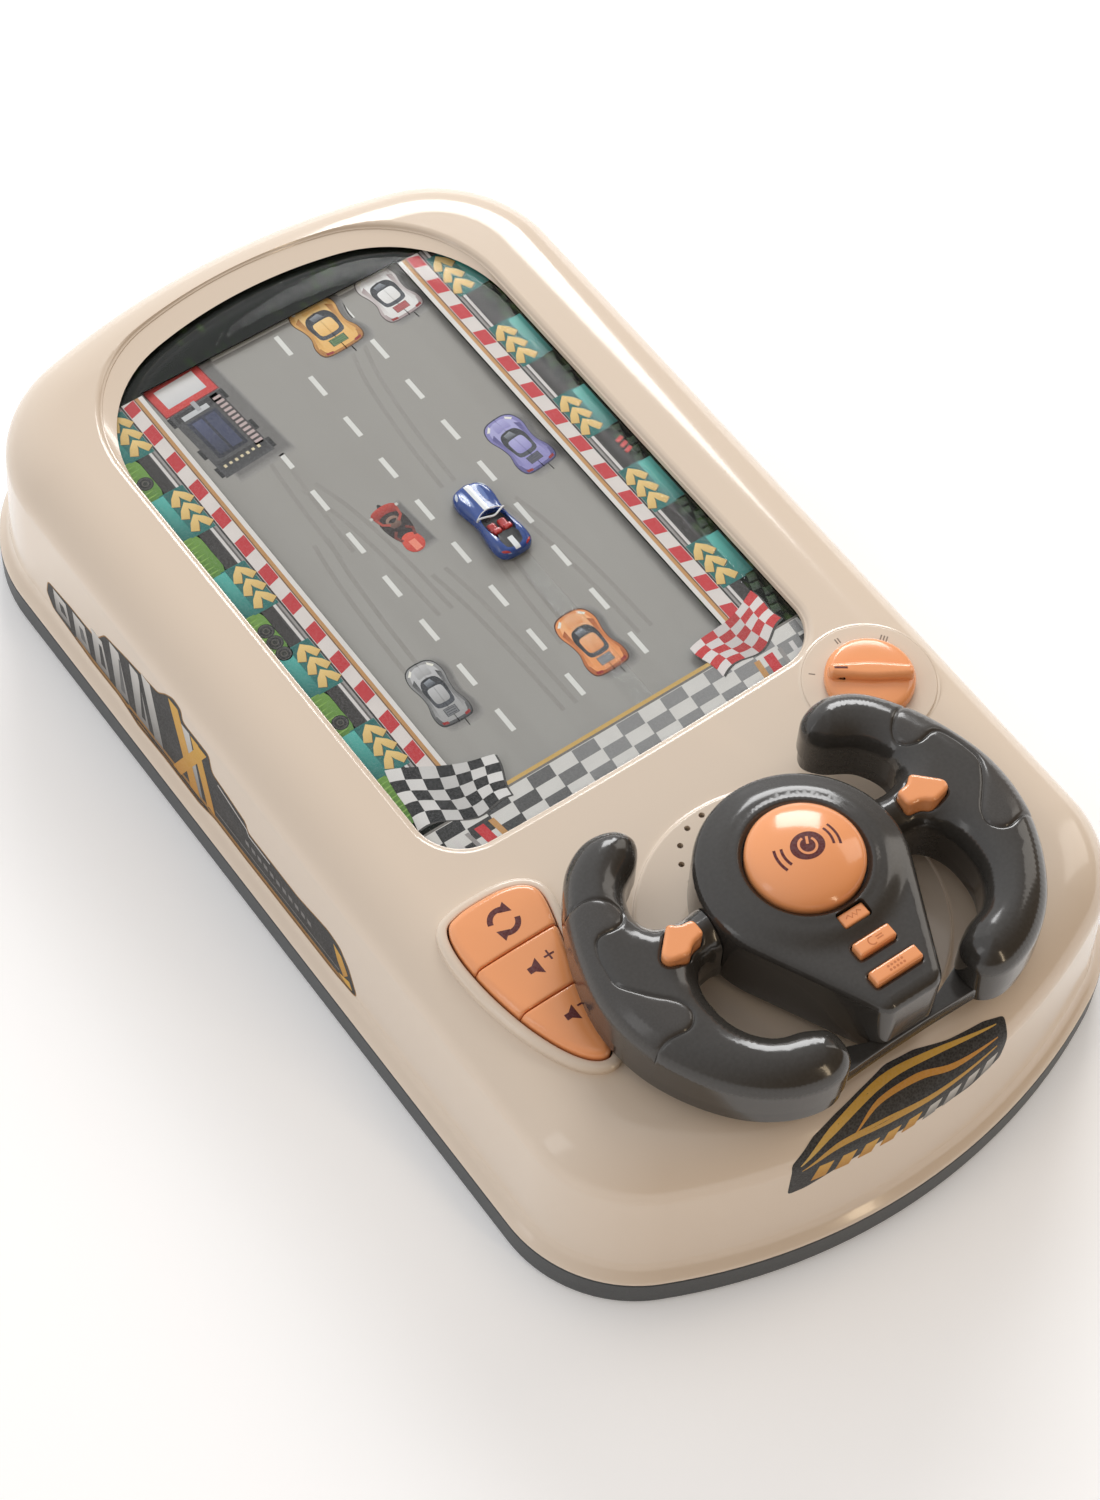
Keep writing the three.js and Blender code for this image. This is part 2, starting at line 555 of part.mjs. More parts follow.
const POCKET_FLOOR = 95;
function wheelHub() {
  const boss = prism(hubOutline(), WHEEL_SPLIT + GAP, HUB.shoulder);
  const cone = turned([[0, 96], [HUB.r, 96], [HUB.r, HUB.shoulder], [28, HUB.shoulder + 2.6], [22, HUB.top],
    [0, HUB.top]], 0, 0);
  const nose = domedPrism(inset(hubOutline(), 1.6), 96, HUB.noseTop, 1.5, 1);
  const hollow = prism(inset(hubOutline(), WALL), WHEEL_SPLIT - 1, POCKET_FLOOR - 2);
  const hornWell = post(0, 0, HORN_R + 0.5, POCKET_FLOOR, HUB.top + 5, 40);
  const keyWells = NOSE_KEYS.map(({ y, half }) => block(
    [-half - 0.35, y - NOSE_KEY_DEPTH / 2 - 0.35, POCKET_FLOOR],
    [half + 0.35, y + NOSE_KEY_DEPTH / 2 + 0.35, HUB.top + 5],
  ));
  const socket = join([post(0, 0, 8, WHEEL_SPLIT + GAP, POCKET_FLOOR - 1)]);
  return join([join([boss, cone, nose], [hollow]), socket],
    [hornWell, ...keyWells, post(0, 0, 4.3, 70, POCKET_FLOOR - 3)]);
}
place('wheel_hub', wheelHub(), wheelGrey, wheel);

// Switch board ringed round the socket inside the hub.
const hubBoard = join([post(0, 0, 22, 86, 87.6, 24)], [post(0, 0, 8.5, 80, 90)]);
place('hub_board', hubBoard, board, wheel);

place('steering_shaft', join([post(0, 0, 4, TOWER.pocket + GAP, POCKET_FLOOR - 3.4)]), steel, wheel);
const steerGear = prism(gearOutline(STEER_TEETH, STEER_MODULE, 90), RACK.low, RACK.high);
place('steering_gear', join([steerGear], [post(0, 0, 4.3, 40, 60)]), gearWhite, wheel);

// ---------------------------------------------------------------- wheel buttons

const HORN_BASE = 98;
const hornDome = [[0, HORN_BASE], [HORN_R, HORN_BASE], [HORN_R, 104.6], [HORN_R - 1, 106.4], [HORN_R - 3.2, 107.8],
  [HORN_R - 7.4, 109.4], [5, 110.4], [0, 110.6]];
place('horn_button', turned(hornDome, 0, 0, 40), orange, wheel);

const arrowButton = domedPrism(shifted(ARROW, -ARROW_X, ARROW_Y), GRIP_TOP - 4.6, GRIP_TOP + 2.8, 0.9, 1);
place('arrow_button_left', arrowButton, orange, wheel);
place('arrow_button_right', flip(arrowButton), orange, wheel);

NOSE_KEYS.forEach(({ y, half }, i) => {
  const depth = NOSE_KEY_DEPTH / 2;
  const outline = [[-half, y - depth], [half, y - depth], [half, y + depth], [-half, y + depth]];
  place(`nose_button_${i + 1}`, domedPrism(outline, POCKET_FLOOR + 1.6, HUB.noseTop + 2.2, 0.6, 1), orange, wheel);
});

// ---------------------------------------------------------------- rack, rail and player car

function rackCarriage() {
  const pitchLine = WHEEL_Y + STEER_PITCH_R;
  const pitch = Math.PI * STEER_MODULE;
  const back = RAIL.y - 5.4;
  const count = Math.floor((RACK.end - RACK.start) / pitch);
  const first = -pitch * (Math.floor(-RACK.start / pitch) - 0.5);
  const flank = Array.from({ length: count }, (_, i) => first + i * pitch).flatMap((x) => [
    [x - 0.3 * pitch, pitchLine + 1.2 * STEER_MODULE],
    [x - 0.11 * pitch, pitchLine - 0.75 * STEER_MODULE],
    [x + 0.11 * pitch, pitchLine - 0.75 * STEER_MODULE],
    [x + 0.3 * pitch, pitchLine + 1.2 * STEER_MODULE],
  ]).filter(([x]) => x > RACK.start && x < RACK.end);
  const teeth = prism([[RACK.start, back], [RACK.start, flank[0][1]], ...flank, [RACK.end, flank[0][1]],
    [RACK.end, back]].reverse(), RACK.low, RACK.high);
  const slider = block([RACK.start, back - 0.5, RAIL.z - 5], [RACK.end, RAIL.y + 5, RAIL.z + 5]);
  const reach = block([CAR.x - 5, RAIL.y + 4, RAIL.z - 3], [CAR.x + 5, -62, RAIL.z + 1]);
  const riser = block([CAR.x - 5, -66, RAIL.z - 3], [CAR.x + 5, -62, BELT.top]);
  return join([teeth, slider, reach, riser], [rod(RAIL.y, RAIL.z, RAIL.r + 0.35, -80, 90)]);
}
place('rack_carriage', rackCarriage(), gearWhite);

// Guide rod on two posts that stand on the base.
const RAIL_POSTS = 94;
function guideRail() {
  const posts = [-1, 1].map((side) => block(
    [side * RAIL_POSTS - 2, RAIL.y - 5, BASE_FLOOR + GAP],
    [side * RAIL_POSTS + 2, RAIL.y + 5, RAIL.z + 5],
  ));
  return join([rod(RAIL.y, RAIL.z, RAIL.r, -RAIL_POSTS, RAIL_POSTS), ...posts]);
}
place('guide_rail', guideRail(), steel);

// Clear strip that carries the car just above the belt.
const ARM = { bottom: BELT.top + GAP, top: CARD.bottom - GAP, half: 3 };
place('car_arm', block([CAR.x - ARM.half, -66, ARM.bottom], [CAR.x + ARM.half, CAR.y + 10, ARM.top]), clear);

function playerCar() {
  const [half, long] = [CAR.width / 2, CAR.length / 2];
  const plan = smooth([[-half, -long + 4], [-half + 2, -long + 0.6], [0, -long], [half - 2, -long + 0.6],
    [half, -long + 4], [half - 0.8, 0], [half, long - 7], [half - 2.4, long - 1.2], [0, long],
    [-half + 2.4, long - 1.2], [-half, long - 7], [-half + 0.8, 0]], 28);
  const hull = domedPrism(shifted(plan, CAR.x, CAR.y), CAR.bottom, CAR.bottom + 3.6, 1.2, 1);
  const cabin = shifted([[-4.4, -8.5], [4.4, -8.5], [4.8, 1], [3.6, 5], [-3.6, 5], [-4.8, 1]], CAR.x, CAR.y);
  return join([hull, domedPrism(cabin, CAR.bottom + 3, CAR.bottom + 5, 0.8, 1)]);
}
place('player_car', playerCar(), carBlue);

// ---------------------------------------------------------------- key pad, knob and electronics

const KEY = { bottom: 62.6, top: 72.4, round: 1.6 };
[[POD_SPLITS[0], -60], [POD_SPLITS[1], POD_SPLITS[0]], [-140, POD_SPLITS[1]]].forEach(([near, far], i) => {
  const slab = block([-95, near + 0.25, KEY.bottom - 1], [-50, far - 0.25, KEY.top + 1]);
  place(`pod_button_${i + 1}`, domedPrism(POD, KEY.bottom, KEY.top, KEY.round, 2).intersect(slab), orange);
});

const podBoard = block([-84, -124, 58], [-62, -72, 59.6]);
place('pod_board', podBoard, board);

function gearKnob() {
  const skirt = turned([[0, KNOB.bottom], [KNOB.r, KNOB.bottom], [KNOB.r, KNOB.bottom + 2.4],
    [KNOB.r - 1.4, KNOB.bottom + 3.8], [0, KNOB.bottom + 4.2]], KNOB.x, KNOB.y, 32);
  const bar = [[-12.6, -2.6], [12.6, -2.6], [13.2, 0], [12.6, 2.6], [-12.6, 2.6], [-13.2, 0]];
  const turn = THREE.MathUtils.degToRad(-35);
  const handle = bar.map(([x, y]) => [
    KNOB.x + x * Math.cos(turn) - y * Math.sin(turn),
    KNOB.y + x * Math.sin(turn) + y * Math.cos(turn),
  ]);
  return join([skirt, domedPrism(handle, KNOB.bottom + 2, KNOB.top, 1.2, 2), post(KNOB.x, KNOB.y, 4.3, 61, KNOB.bottom + 1)]);
}
place('gear_knob', gearKnob(), orange);

const switchBody = block([KNOB.x - 8, KNOB.y - 8, 52.6], [KNOB.x + 8, KNOB.y + 8, 60.6]);
place('knob_switch', join([switchBody, block([KNOB.x - 10, KNOB.y - 10, 51], [KNOB.x + 10, KNOB.y + 10, 52.7])]), board);

function mainBoard() {
  const sheet = block([-96, -40, 14], [-62, 50, 15.6]);
  const parts = [[-90, -30, 10, 10, 3], [-80, 5, 14, 8, 2.5], [-72, 30, 6, 6, 9], [-92, 34, 8, 5, 6]];
  const legs = [-36, 44].map((y) => block([-81, y, BASE_FLOOR + GAP], [-77, y + 4, 14.5]));
  return join([sheet, ...legs, ...parts.map(([x, y, w, d, h]) => block([x, y, 15], [x + w, y + d, 15.6 + h]))]);
}
place('main_board', mainBoard(), board);

const speakerProfile = [[0, 54.6], [7, 54.6], [7, 58.4], [11, 58.4], [SPEAKER.r, 62.2], [SPEAKER.r, 63.6],
  [SPEAKER.r - 2, 63.6], [6, 61.6], [0, 61.6]];
place('speaker', turned(speakerProfile, 0, SPEAKER.y, 24), inside);

// ---------------------------------------------------------------- battery bay

const BOX = { left: DOOR.left + 1, right: DOOR.right - 1, near: DOOR.near + 1, far: DOOR.far - 1, top: 22 };
function batteryBox() {
  const rim = block([DOOR.left - 4, DOOR.near - 4, BASE_FLOOR + GAP], [DOOR.right + 4, DOOR.far + 4, BASE_FLOOR + 1.9]);
  const shell = block([BOX.left - 1.6, BOX.near - 1.6, BASE_FLOOR + GAP], [BOX.right + 1.6, BOX.far + 1.6, BOX.top]);
  return join([rim, shell], [block([BOX.left, BOX.near, 0], [BOX.right, BOX.far, BOX.top - 1.6])]);
}
place('battery_box', batteryBox(), inside);
place('battery_door', block([DOOR.left, DOOR.near, BASE_BOTTOM], [DOOR.right, DOOR.far, BASE_FLOOR]), charcoal);

const CELL = { r: 7.1, z: 11.6, spacing: 17.6 };
[-1, 0, 1].forEach((row, i) => {
  const y = (DOOR.near + DOOR.far) / 2 + row * CELL.spacing;
  const can = rod(y, CELL.z, CELL.r, -25, 24.2, 20);
  place(`cell_${i + 1}`, join([can, rod(y, CELL.z, 2.7, 24, 25.4, 10)]), cellSleeve);
});

// ---------------------------------------------------------------- screws and feet

SCREWS.forEach(([x, y], i) => {
  place(`case_screw_${i + 1}`, join([post(x, y, 2.8, 2, 3.9, 12), post(x, y, 1.4, 3, 22, 8)]), steel);
});

FEET.forEach(([x, y], i) => {
  place(`foot_${i + 1}`, turned([[0, 0], [6.4, 0], [7, 0.4], [7, 1.2], [0, 1.2]], x, y, 20), rubber);
});

export default toy;
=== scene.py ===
"""Table-top driving game: a cream casing with a window over a printed road, and a steering wheel.

Everything is worked out in millimetres in the CAD frame and turned to metres as a mesh is made.
"""

import math

import bpy
import numpy as np
from mathutils import Matrix, Vector
from mathutils.geometry import delaunay_2d_cdt


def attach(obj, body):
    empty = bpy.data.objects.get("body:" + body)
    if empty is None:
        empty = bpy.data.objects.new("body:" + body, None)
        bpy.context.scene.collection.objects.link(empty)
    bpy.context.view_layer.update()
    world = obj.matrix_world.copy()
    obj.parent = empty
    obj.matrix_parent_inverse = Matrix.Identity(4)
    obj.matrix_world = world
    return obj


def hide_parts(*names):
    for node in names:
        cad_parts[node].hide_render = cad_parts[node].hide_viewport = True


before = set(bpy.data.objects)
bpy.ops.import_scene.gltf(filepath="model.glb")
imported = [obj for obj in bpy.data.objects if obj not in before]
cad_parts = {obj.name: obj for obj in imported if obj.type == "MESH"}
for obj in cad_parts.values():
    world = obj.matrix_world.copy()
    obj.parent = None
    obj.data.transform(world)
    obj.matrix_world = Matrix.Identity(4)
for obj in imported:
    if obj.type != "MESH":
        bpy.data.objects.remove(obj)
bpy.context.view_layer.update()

# ---------------------------------------------------------------- studio
# A pale seamless floor under a large soft top light, with two tall soft boxes beside the toy.
# They draw the long soft highlights that glossy moulded plastic shows.

MM = 0.001


def tint(red, green, blue):
    """Linear colour of an everyday 0 to 255 colour."""
    parts = [c / 255 for c in (red, green, blue)]
    return tuple(p / 12.92 if p <= 0.04045 else ((p + 0.055) / 1.055) ** 2.4 for p in parts)


class Value:
    """A socket of a finish's nodes, so that shader maths reads as an expression."""

    def __init__(self, finish, socket):
        self.finish, self.socket = finish, socket

    def maths(self, operation, *terms):
        return self.finish.node("ShaderNodeMath", {"operation": operation}, dict(enumerate(terms)))

    def __add__(self, other):
        return self.maths("ADD", self, other)

    def __sub__(self, other):
        return self.maths("SUBTRACT", self, other)

    def __rsub__(self, other):
        return self.maths("SUBTRACT", other, self)

    def __mul__(self, other):
        return self.maths("MULTIPLY", self, other)

    def __gt__(self, other):
        return self.maths("GREATER_THAN", self, other)

    def __lt__(self, other):
        return self.maths("LESS_THAN", self, other)

    __radd__ = __add__
    __rmul__ = __mul__


class Recipe:
    """Makes and links the nodes of one tree."""

    def __init__(self, tree):
        self.tree = tree

    def node(self, kind, settings=None, sockets=None, out=0):
        made = self.tree.nodes.new(kind)
        for key, value in (settings or {}).items():
            if key == "stops":
                ramp = made.color_ramp.elements
                ramp[0].position, ramp[0].color = value[0][0], (*value[0][1], 1)
                ramp[1].position, ramp[1].color = value[-1][0], (*value[-1][1], 1)
                for at, shade in value[1:-1]:
                    ramp.new(at).color = (*shade, 1)
            else:
                setattr(made, key, value)
        for key, value in (sockets or {}).items():
            self.feed(made.inputs[key], value)
        return Value(self, made.outputs[out])

    def feed(self, socket, value):
        if isinstance(value, Value):
            self.tree.links.new(value.socket, socket)
        elif isinstance(value, tuple) and len(value) == 3 and socket.type == "RGBA":
            socket.default_value = (*value, 1)
        else:
            socket.default_value = value

    def mix(self, mask, under, over):
        return self.node("ShaderNodeMix", {"data_type": "RGBA"}, {0: mask, 6: under, 7: over}, out=2)


class Finish(Recipe):
    """A material built on one principled shader; constants go straight on its sockets."""

    def __init__(self, name, constants):
        self.material = bpy.data.materials.new(name)
        self.material.use_nodes = True
        super().__init__(self.material.node_tree)
        self.shader = self.tree.nodes["Principled BSDF"]
        for socket, value in constants.items():
            self.shader.inputs[socket].default_value = value

    def set(self, **sockets):
        for name, value in sockets.items():
            self.feed(self.shader.inputs[name.replace("_", " ")], value)
        return self

    def place(self, stretch=(1, 1, 1)):
        """Position on the toy, stretched along each axis."""
        spot = self.node("ShaderNodeTexCoord", out="Object")
        return self.node("ShaderNodeMapping", {}, {"Vector": spot, "Scale": stretch})

    def noise(self, scale, detail=2, stretch=(1, 1, 1), rough=0.5):
        sockets = {"Vector": self.place(stretch), "Scale": scale, "Detail": detail, "Roughness": rough}
        return self.node("ShaderNodeTexNoise", {}, sockets)

    def cells(self, scale, stretch=(1, 1, 1), feature="F1"):
        return self.node("ShaderNodeTexVoronoi", {"feature": feature}, {"Vector": self.place(stretch), "Scale": scale})

    def ramp(self, value, stops):
        return self.node("ShaderNodeValToRGB", {"stops": stops}, {"Fac": value})

    def bump(self, height, depth, strength=1.0):
        return self.node("ShaderNodeBump", {}, {"Height": height, "Distance": depth, "Strength": strength})


def soft_box(name, at, towards, width, height, power, shade=(1, 1, 1)):
    light = bpy.data.lights.new(name, "AREA")
    light.shape, light.size, light.size_y, light.energy, light.color = "RECTANGLE", width, height, power, shade
    lamp = bpy.data.objects.new(name, light)
    lamp.location = at
    lamp.rotation_euler = (Vector(towards) - Vector(at)).to_track_quat("-Z", "Y").to_euler()
    bpy.context.scene.collection.objects.link(lamp)


soft_box("top_box", (0.95, 1.15, 0.95), (0, 0, 0), 0.9, 0.7, 17)
soft_box("left_box", (-1.3, 0.1, 0.75), (0, 0, 0.05), 0.3, 1.0, 1.1)
soft_box("right_box", (1.3, -0.1, 0.8), (0, 0, 0.05), 0.5, 0.9, 2.4, (1, 0.95, 0.88))
soft_box("near_box", (0.25, -1.4, 0.55), (0, 0, 0.05), 0.1, 0.9, 2.2, (1, 0.8, 0.55))

# The room is bright behind and to the left of the toy, and dimmer and warmer on the player's side.
world = bpy.data.worlds.new("studio")
world.use_nodes = True
room = Recipe(world.node_tree)
heading = room.node("ShaderNodeTexCoord", out="Generated")
towards = room.node("ShaderNodeVectorMath", {"operation": "DOT_PRODUCT"}, {0: heading, 1: (-0.42, 0.86, 0.28)}, out="Value")
glow = room.node("ShaderNodeMapRange", {"interpolation_type": "SMOOTHSTEP"}, {"Value": towards, "From Min": -0.75, "From Max": 0.9})
room.feed(world.node_tree.nodes["Background"].inputs["Color"], room.mix(glow, (0.2, 0.135, 0.08), (0.92, 0.93, 0.95)))
bpy.context.scene.world = world
bpy.context.scene.view_settings.view_transform = "Standard"

FLOOR_HALF = 3.0
floor_mesh = bpy.data.meshes.new("floor")
floor_mesh.from_pydata([(-FLOOR_HALF, -FLOOR_HALF, 0), (FLOOR_HALF, -FLOOR_HALF, 0),
                        (FLOOR_HALF, FLOOR_HALF, 0), (-FLOOR_HALF, FLOOR_HALF, 0)], [], [(0, 1, 2, 3)])
floor = bpy.data.objects.new("floor", floor_mesh)
bpy.context.scene.collection.objects.link(floor)
paper = Finish("seamless_paper", {"Roughness": 0.9, "Specular IOR Level": 0.1, "Emission Color": (1, 1, 1, 1), "Emission Strength": 0.15})
paper.set(Base_Color=paper.mix(paper.noise(3) * 0.3, (0.97, 0.97, 0.97), (0.94, 0.94, 0.94)))
floor_mesh.materials.append(paper.material)

# The camera stands over the near left corner; its three axes are its right, up and backward.
CAMERA_AT = (-0.37238, -0.46395, 0.92119)
CAMERA_AXES = ((0.80898, 0.47699, -0.34356), (-0.58664, 0.69223, -0.42032), (0.03733, 0.54158, 0.83982))
lens = bpy.data.cameras.new("camera")
lens.lens, lens.sensor_width, lens.sensor_fit = 81.758, 36, "AUTO"
lens.clip_start, lens.clip_end = 0.02, 20
camera = bpy.data.objects.new("camera", lens)
camera.matrix_world = Matrix.Translation(CAMERA_AT) @ Matrix(CAMERA_AXES).to_4x4()
bpy.context.scene.collection.objects.link(camera)
bpy.context.scene.camera = camera

# ---------------------------------------------------------------- lower base
# The charcoal tray that the whole toy stands on. It is moulded in finely textured ABS, with a
# rounded foot edge, and four screws pull the cream casing down on it from below.

BODY = {"half": 107.5, "near": -195, "far": 195, "near_arc": 190, "near_corner": 45, "far_arc": 265, "far_corner": 52}
WALL = 2.4
BASE_BOTTOM, BAND_TOP, BASE_FLOOR = 1.5, 12.6, 3.9
SCREWS = ((-84, 118), (84, 118), (-80, -138), (80, -138))
DOOR = {"left": -34, "right": 34, "near": 30, "far": 92}


def arc(x, y, r, start, end, steps):
    """Points of an arc, angles in degrees, counted without the last one."""
    turn = np.radians(start + (end - start) * np.arange(steps) / steps)
    return np.stack([x + r * np.cos(turn), y + r * np.sin(turn)], 1)


def bowed(spec, offset=0, corner=18, end=28, side=10):
    """Outline of two straight sides, four corners and two bowed ends, pulled in by an offset."""
    def corner_of(end_arc, corner_r, tip, sign):
        across = spec["half"] - corner_r
        along = math.sqrt((end_arc - corner_r) ** 2 - across ** 2)
        centre = tip - sign * end_arc
        return across, centre, centre + sign * along, math.degrees(math.atan2(along, across)), corner_r - offset

    fx, fc, fy, f_swing, fr = corner_of(spec["far_arc"], spec["far_corner"], spec["far"], 1)
    nx, nc, ny, n_swing, nr = corner_of(spec["near_arc"], spec["near_corner"], spec["near"], -1)
    down = np.linspace(fy, ny, side, endpoint=False)
    wall = spec["half"] - offset
    return np.concatenate([
        arc(fx, fy, fr, 0, f_swing, corner), arc(0, fc, spec["far_arc"] - offset, f_swing, 180 - f_swing, end),
        arc(-fx, fy, fr, 180 - f_swing, 180, corner), np.stack([np.full(side, -wall), down], 1),
        arc(-nx, ny, nr, 180, 180 + n_swing, corner),
        arc(0, nc, spec["near_arc"] - offset, 180 + n_swing, 360 - n_swing, end),
        arc(nx, ny, nr, 360 - n_swing, 360, corner),
        np.stack([np.full(side, wall), np.linspace(ny, fy, side, endpoint=False)], 1),
    ])


def loft(rings):
    """Skin over (outline, height) rings of equal length, capped at both ends."""
    count = len(rings[0][0])
    verts = np.concatenate([np.column_stack([points, np.full(count, z)]) for points, z in rings])
    faces = [tuple(range(count))[::-1], tuple(range(len(verts) - count, len(verts)))]
    for ring in range(len(rings) - 1):
        for i in range(count):
            a, b = ring * count + i, ring * count + (i + 1) % count
            faces.append((a, b, b + count, a + count))
    return verts, faces


def bowed_loft(spec, steps, **fineness):
    return loft([(bowed(spec, offset, **fineness), z) for offset, z in steps])


def joined(*meshes):
    """Several meshes as one."""
    verts, faces = [], []
    for points, loops in meshes:
        shift = sum(map(len, verts))
        verts.append(np.asarray(points, float))
        faces += [tuple(i + shift for i in loop) for loop in loops]
    return np.concatenate(verts), faces


def ring_of(x, y, r, sides=32):
    return arc(x, y, r, 0, 360, sides)


def rect(left, near, right, far):
    return np.array([(left, near), (right, near), (right, far), (left, far)], float)


def prism(outline, low, high):
    return loft([(outline, low), (outline, high)])


def blank(name, mesh):
    """An object from a mesh in millimetres, with nothing on it yet."""
    data = bpy.data.meshes.new(name)
    data.from_pydata((np.asarray(mesh[0]) * MM).tolist(), [], mesh[1])
    thing = bpy.data.objects.new(name, data)
    bpy.context.scene.collection.objects.link(thing)
    return thing


def carve(mesh, *steps):
    """Joins or cuts meshes exactly; each step is (operation, mesh)."""
    work = blank("work", mesh)
    for operation, tool in steps:
        cutter = blank("cutter", tool)
        change = work.modifiers.new("cut", "BOOLEAN")
        change.operation, change.object, change.solver = operation, cutter, "EXACT"
        bpy.context.view_layer.update()
        result = bpy.data.meshes.new_from_object(work.evaluated_get(bpy.context.evaluated_depsgraph_get()))
        work.modifiers.clear()
        work.data = result
        bpy.data.objects.remove(cutter)
    verts = np.array([v.co for v in work.data.vertices]) / MM
    faces = [tuple(p.vertices) for p in work.data.polygons]
    bpy.data.objects.remove(work)
    return verts, faces


def fit(name, mesh, finish, body, slot, *nodes, crease=32):
    """A finished piece: smooth up to the crease angle, riding on a body, standing for CAD nodes."""
    thing = blank(name, mesh)
    thing.data.materials.append(finish.material)
    thing.data.shade_smooth()
    thing.data.set_sharp_from_angle(angle=math.radians(crease))
    even = thing.modifiers.new("even", "WEIGHTED_NORMAL")
    even.keep_sharp, even.weight = True, 60
    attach(thing, body)
    if nodes:
        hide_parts(*nodes)
    return thing


def dress(finish, *nodes):
    """Gives a finish to CAD nodes that stay as they are."""
    for node in nodes:
        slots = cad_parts[node].data.materials
        slots.clear()
        slots.append(finish.material)


def moulded(name, shade, gloss, deep, sparkle=0.03, pitch=900, relief=0.00002, coat=0.0):
    """Moulded plastic: cloudy colour, a fine mould texture, and scuffs that dull the gloss."""
    made = Finish(name, {"Coat Weight": coat, "Coat Roughness": 0.06, "IOR": 1.5})
    cloud, speck = made.noise(14, 4), made.noise(pitch, 2)
    scuff = made.noise(90, 6, (1, 0.12, 1), 0.7)
    worn = made.ramp(scuff, [(0.6, (0, 0, 0)), (0.78, (1, 1, 1))])
    base = made.mix(cloud * 0.5, shade, deep)
    made.set(Base_Color=made.mix(speck * sparkle, base, (0.8, 0.8, 0.78)),
             Roughness=made.node("ShaderNodeMapRange", {}, {"Value": cloud, "To Min": gloss, "To Max": gloss + 0.05})
             + worn * 0.06, Normal=made.bump(speck, relief, 0.35))
    return made


charcoal = moulded("charcoal_textured", tint(42, 46, 48), 0.42, tint(32, 35, 37), 0.05, 1500, 0.00006)
tray_steps = [(1.2, BASE_BOTTOM), (0.5, BASE_BOTTOM + 0.15), (0.15, BASE_BOTTOM + 0.5), (0, BASE_BOTTOM + 1.2),
              (0, BAND_TOP - 0.4), (0.3, BAND_TOP)]
tray_hollow = bowed_loft(BODY, [(WALL, BASE_FLOOR), (WALL, BAND_TOP + 1)])
doorway = prism(rect(DOOR["left"] - 0.3, DOOR["near"] - 0.3, DOOR["right"] + 0.3, DOOR["far"] + 0.3), 0, BASE_FLOOR + 1)
screw_wells = joined(*[prism(ring_of(x, y, 3.4, 24), 0, BASE_FLOOR + 1) for x, y in SCREWS])
grip_ribs = joined(*[prism(rect(-58, y, -44, y + 1.2), 0, BASE_BOTTOM + 0.5) for y in range(-20, 100, 6)],
                   *[prism(rect(44, y, 58, y + 1.2), 0, BASE_BOTTOM + 0.5) for y in range(-20, 100, 6)])
tray = carve(bowed_loft(BODY, tray_steps), ("DIFFERENCE", tray_hollow), ("DIFFERENCE", doorway),
             ("DIFFERENCE", screw_wells), ("DIFFERENCE", grip_ribs))
MOTOR_SEAT = rect(71, -38.5, 91, -16.5)
tower = prism(rect(-9, -133.7, 9, -115.7), BASE_FLOOR - 0.5, 33)
seat = prism(MOTOR_SEAT, BASE_FLOOR - 0.5, 25)
fit("base_tray", joined(tray, tower, seat), charcoal, "casing", "base_plastic", "lower_base")

# ---------------------------------------------------------------- underside fittings
# Rubber feet are pressed into the tray, zinc plated screws sit in their wells, and a charcoal
# door with finger ribs closes the battery bay and its three cells.

rubber = Finish("foot_rubber", {"Specular IOR Level": 0.3})
rubber.set(Base_Color=rubber.mix(rubber.noise(60, 4), tint(22, 22, 22), tint(38, 37, 35)),
           Roughness=0.75 + rubber.noise(300) * 0.2, Normal=rubber.bump(rubber.noise(1800), 0.00005))
dress(rubber, "foot_1", "foot_2", "foot_3", "foot_4")

steel = Finish("plated_steel", {"Metallic": 1.0})
brushed = steel.noise(260, 4, (1, 0.06, 1))
steel.set(Base_Color=steel.mix(brushed, tint(178, 181, 184), tint(212, 214, 216)),
          Roughness=0.22 + brushed * 0.2, Normal=steel.bump(brushed, 0.00001))
dress(steel, "case_screw_1", "case_screw_2", "case_screw_3", "case_screw_4", "reduction_pin", "motor_pinion",
      "motor", "steering_shaft", "guide_rail")

door_steps = [(0.6, BASE_BOTTOM), (0, BASE_BOTTOM + 0.5), (0, BASE_FLOOR)]
door_blank = loft([(rect(DOOR["left"] + o, DOOR["near"] + o, DOOR["right"] - o, DOOR["far"] - o), z) for o, z in door_steps])
door_ribs = joined(*[prism(rect(-12 + 2 * abs(i), 80 - 2.4 * i, 12 - 2 * abs(i), 81.2 - 2.4 * i), 0, BASE_BOTTOM + 0.5)
                     for i in range(5)])
catch = prism(rect(-7, DOOR["far"] - 3.4, 7, DOOR["far"] - 2.6), 0, BASE_FLOOR + 1)
fit("battery_cover", carve(door_blank, ("DIFFERENCE", door_ribs), ("DIFFERENCE", catch)), charcoal, "casing",
    "base_plastic", "battery_door")

soot = moulded("inner_black", tint(38, 40, 43), 0.5, tint(30, 31, 33), 0.04, 1200, 0.00005)
dress(soot, "battery_box", "belt_deck", "side_frame_left", "side_frame_right", "speaker")

sleeve = Finish("cell_sleeve", {"Coat Weight": 0.5})
band = sleeve.node("ShaderNodeSeparateXYZ", {}, {0: sleeve.place()}) > 0.012
sleeve.set(Base_Color=sleeve.mix(band, tint(120, 124, 130), tint(196, 150, 80)),
           Roughness=0.3 + sleeve.noise(200) * 0.15, Normal=sleeve.bump(sleeve.noise(400), 0.00002))
dress(sleeve, "cell_1", "cell_2", "cell_3")

# ---------------------------------------------------------------- works inside
# White acetal gears and the steering rack, green circuit boards and grey rollers: all hidden
# under the casing, screwed or snapped to the tray.

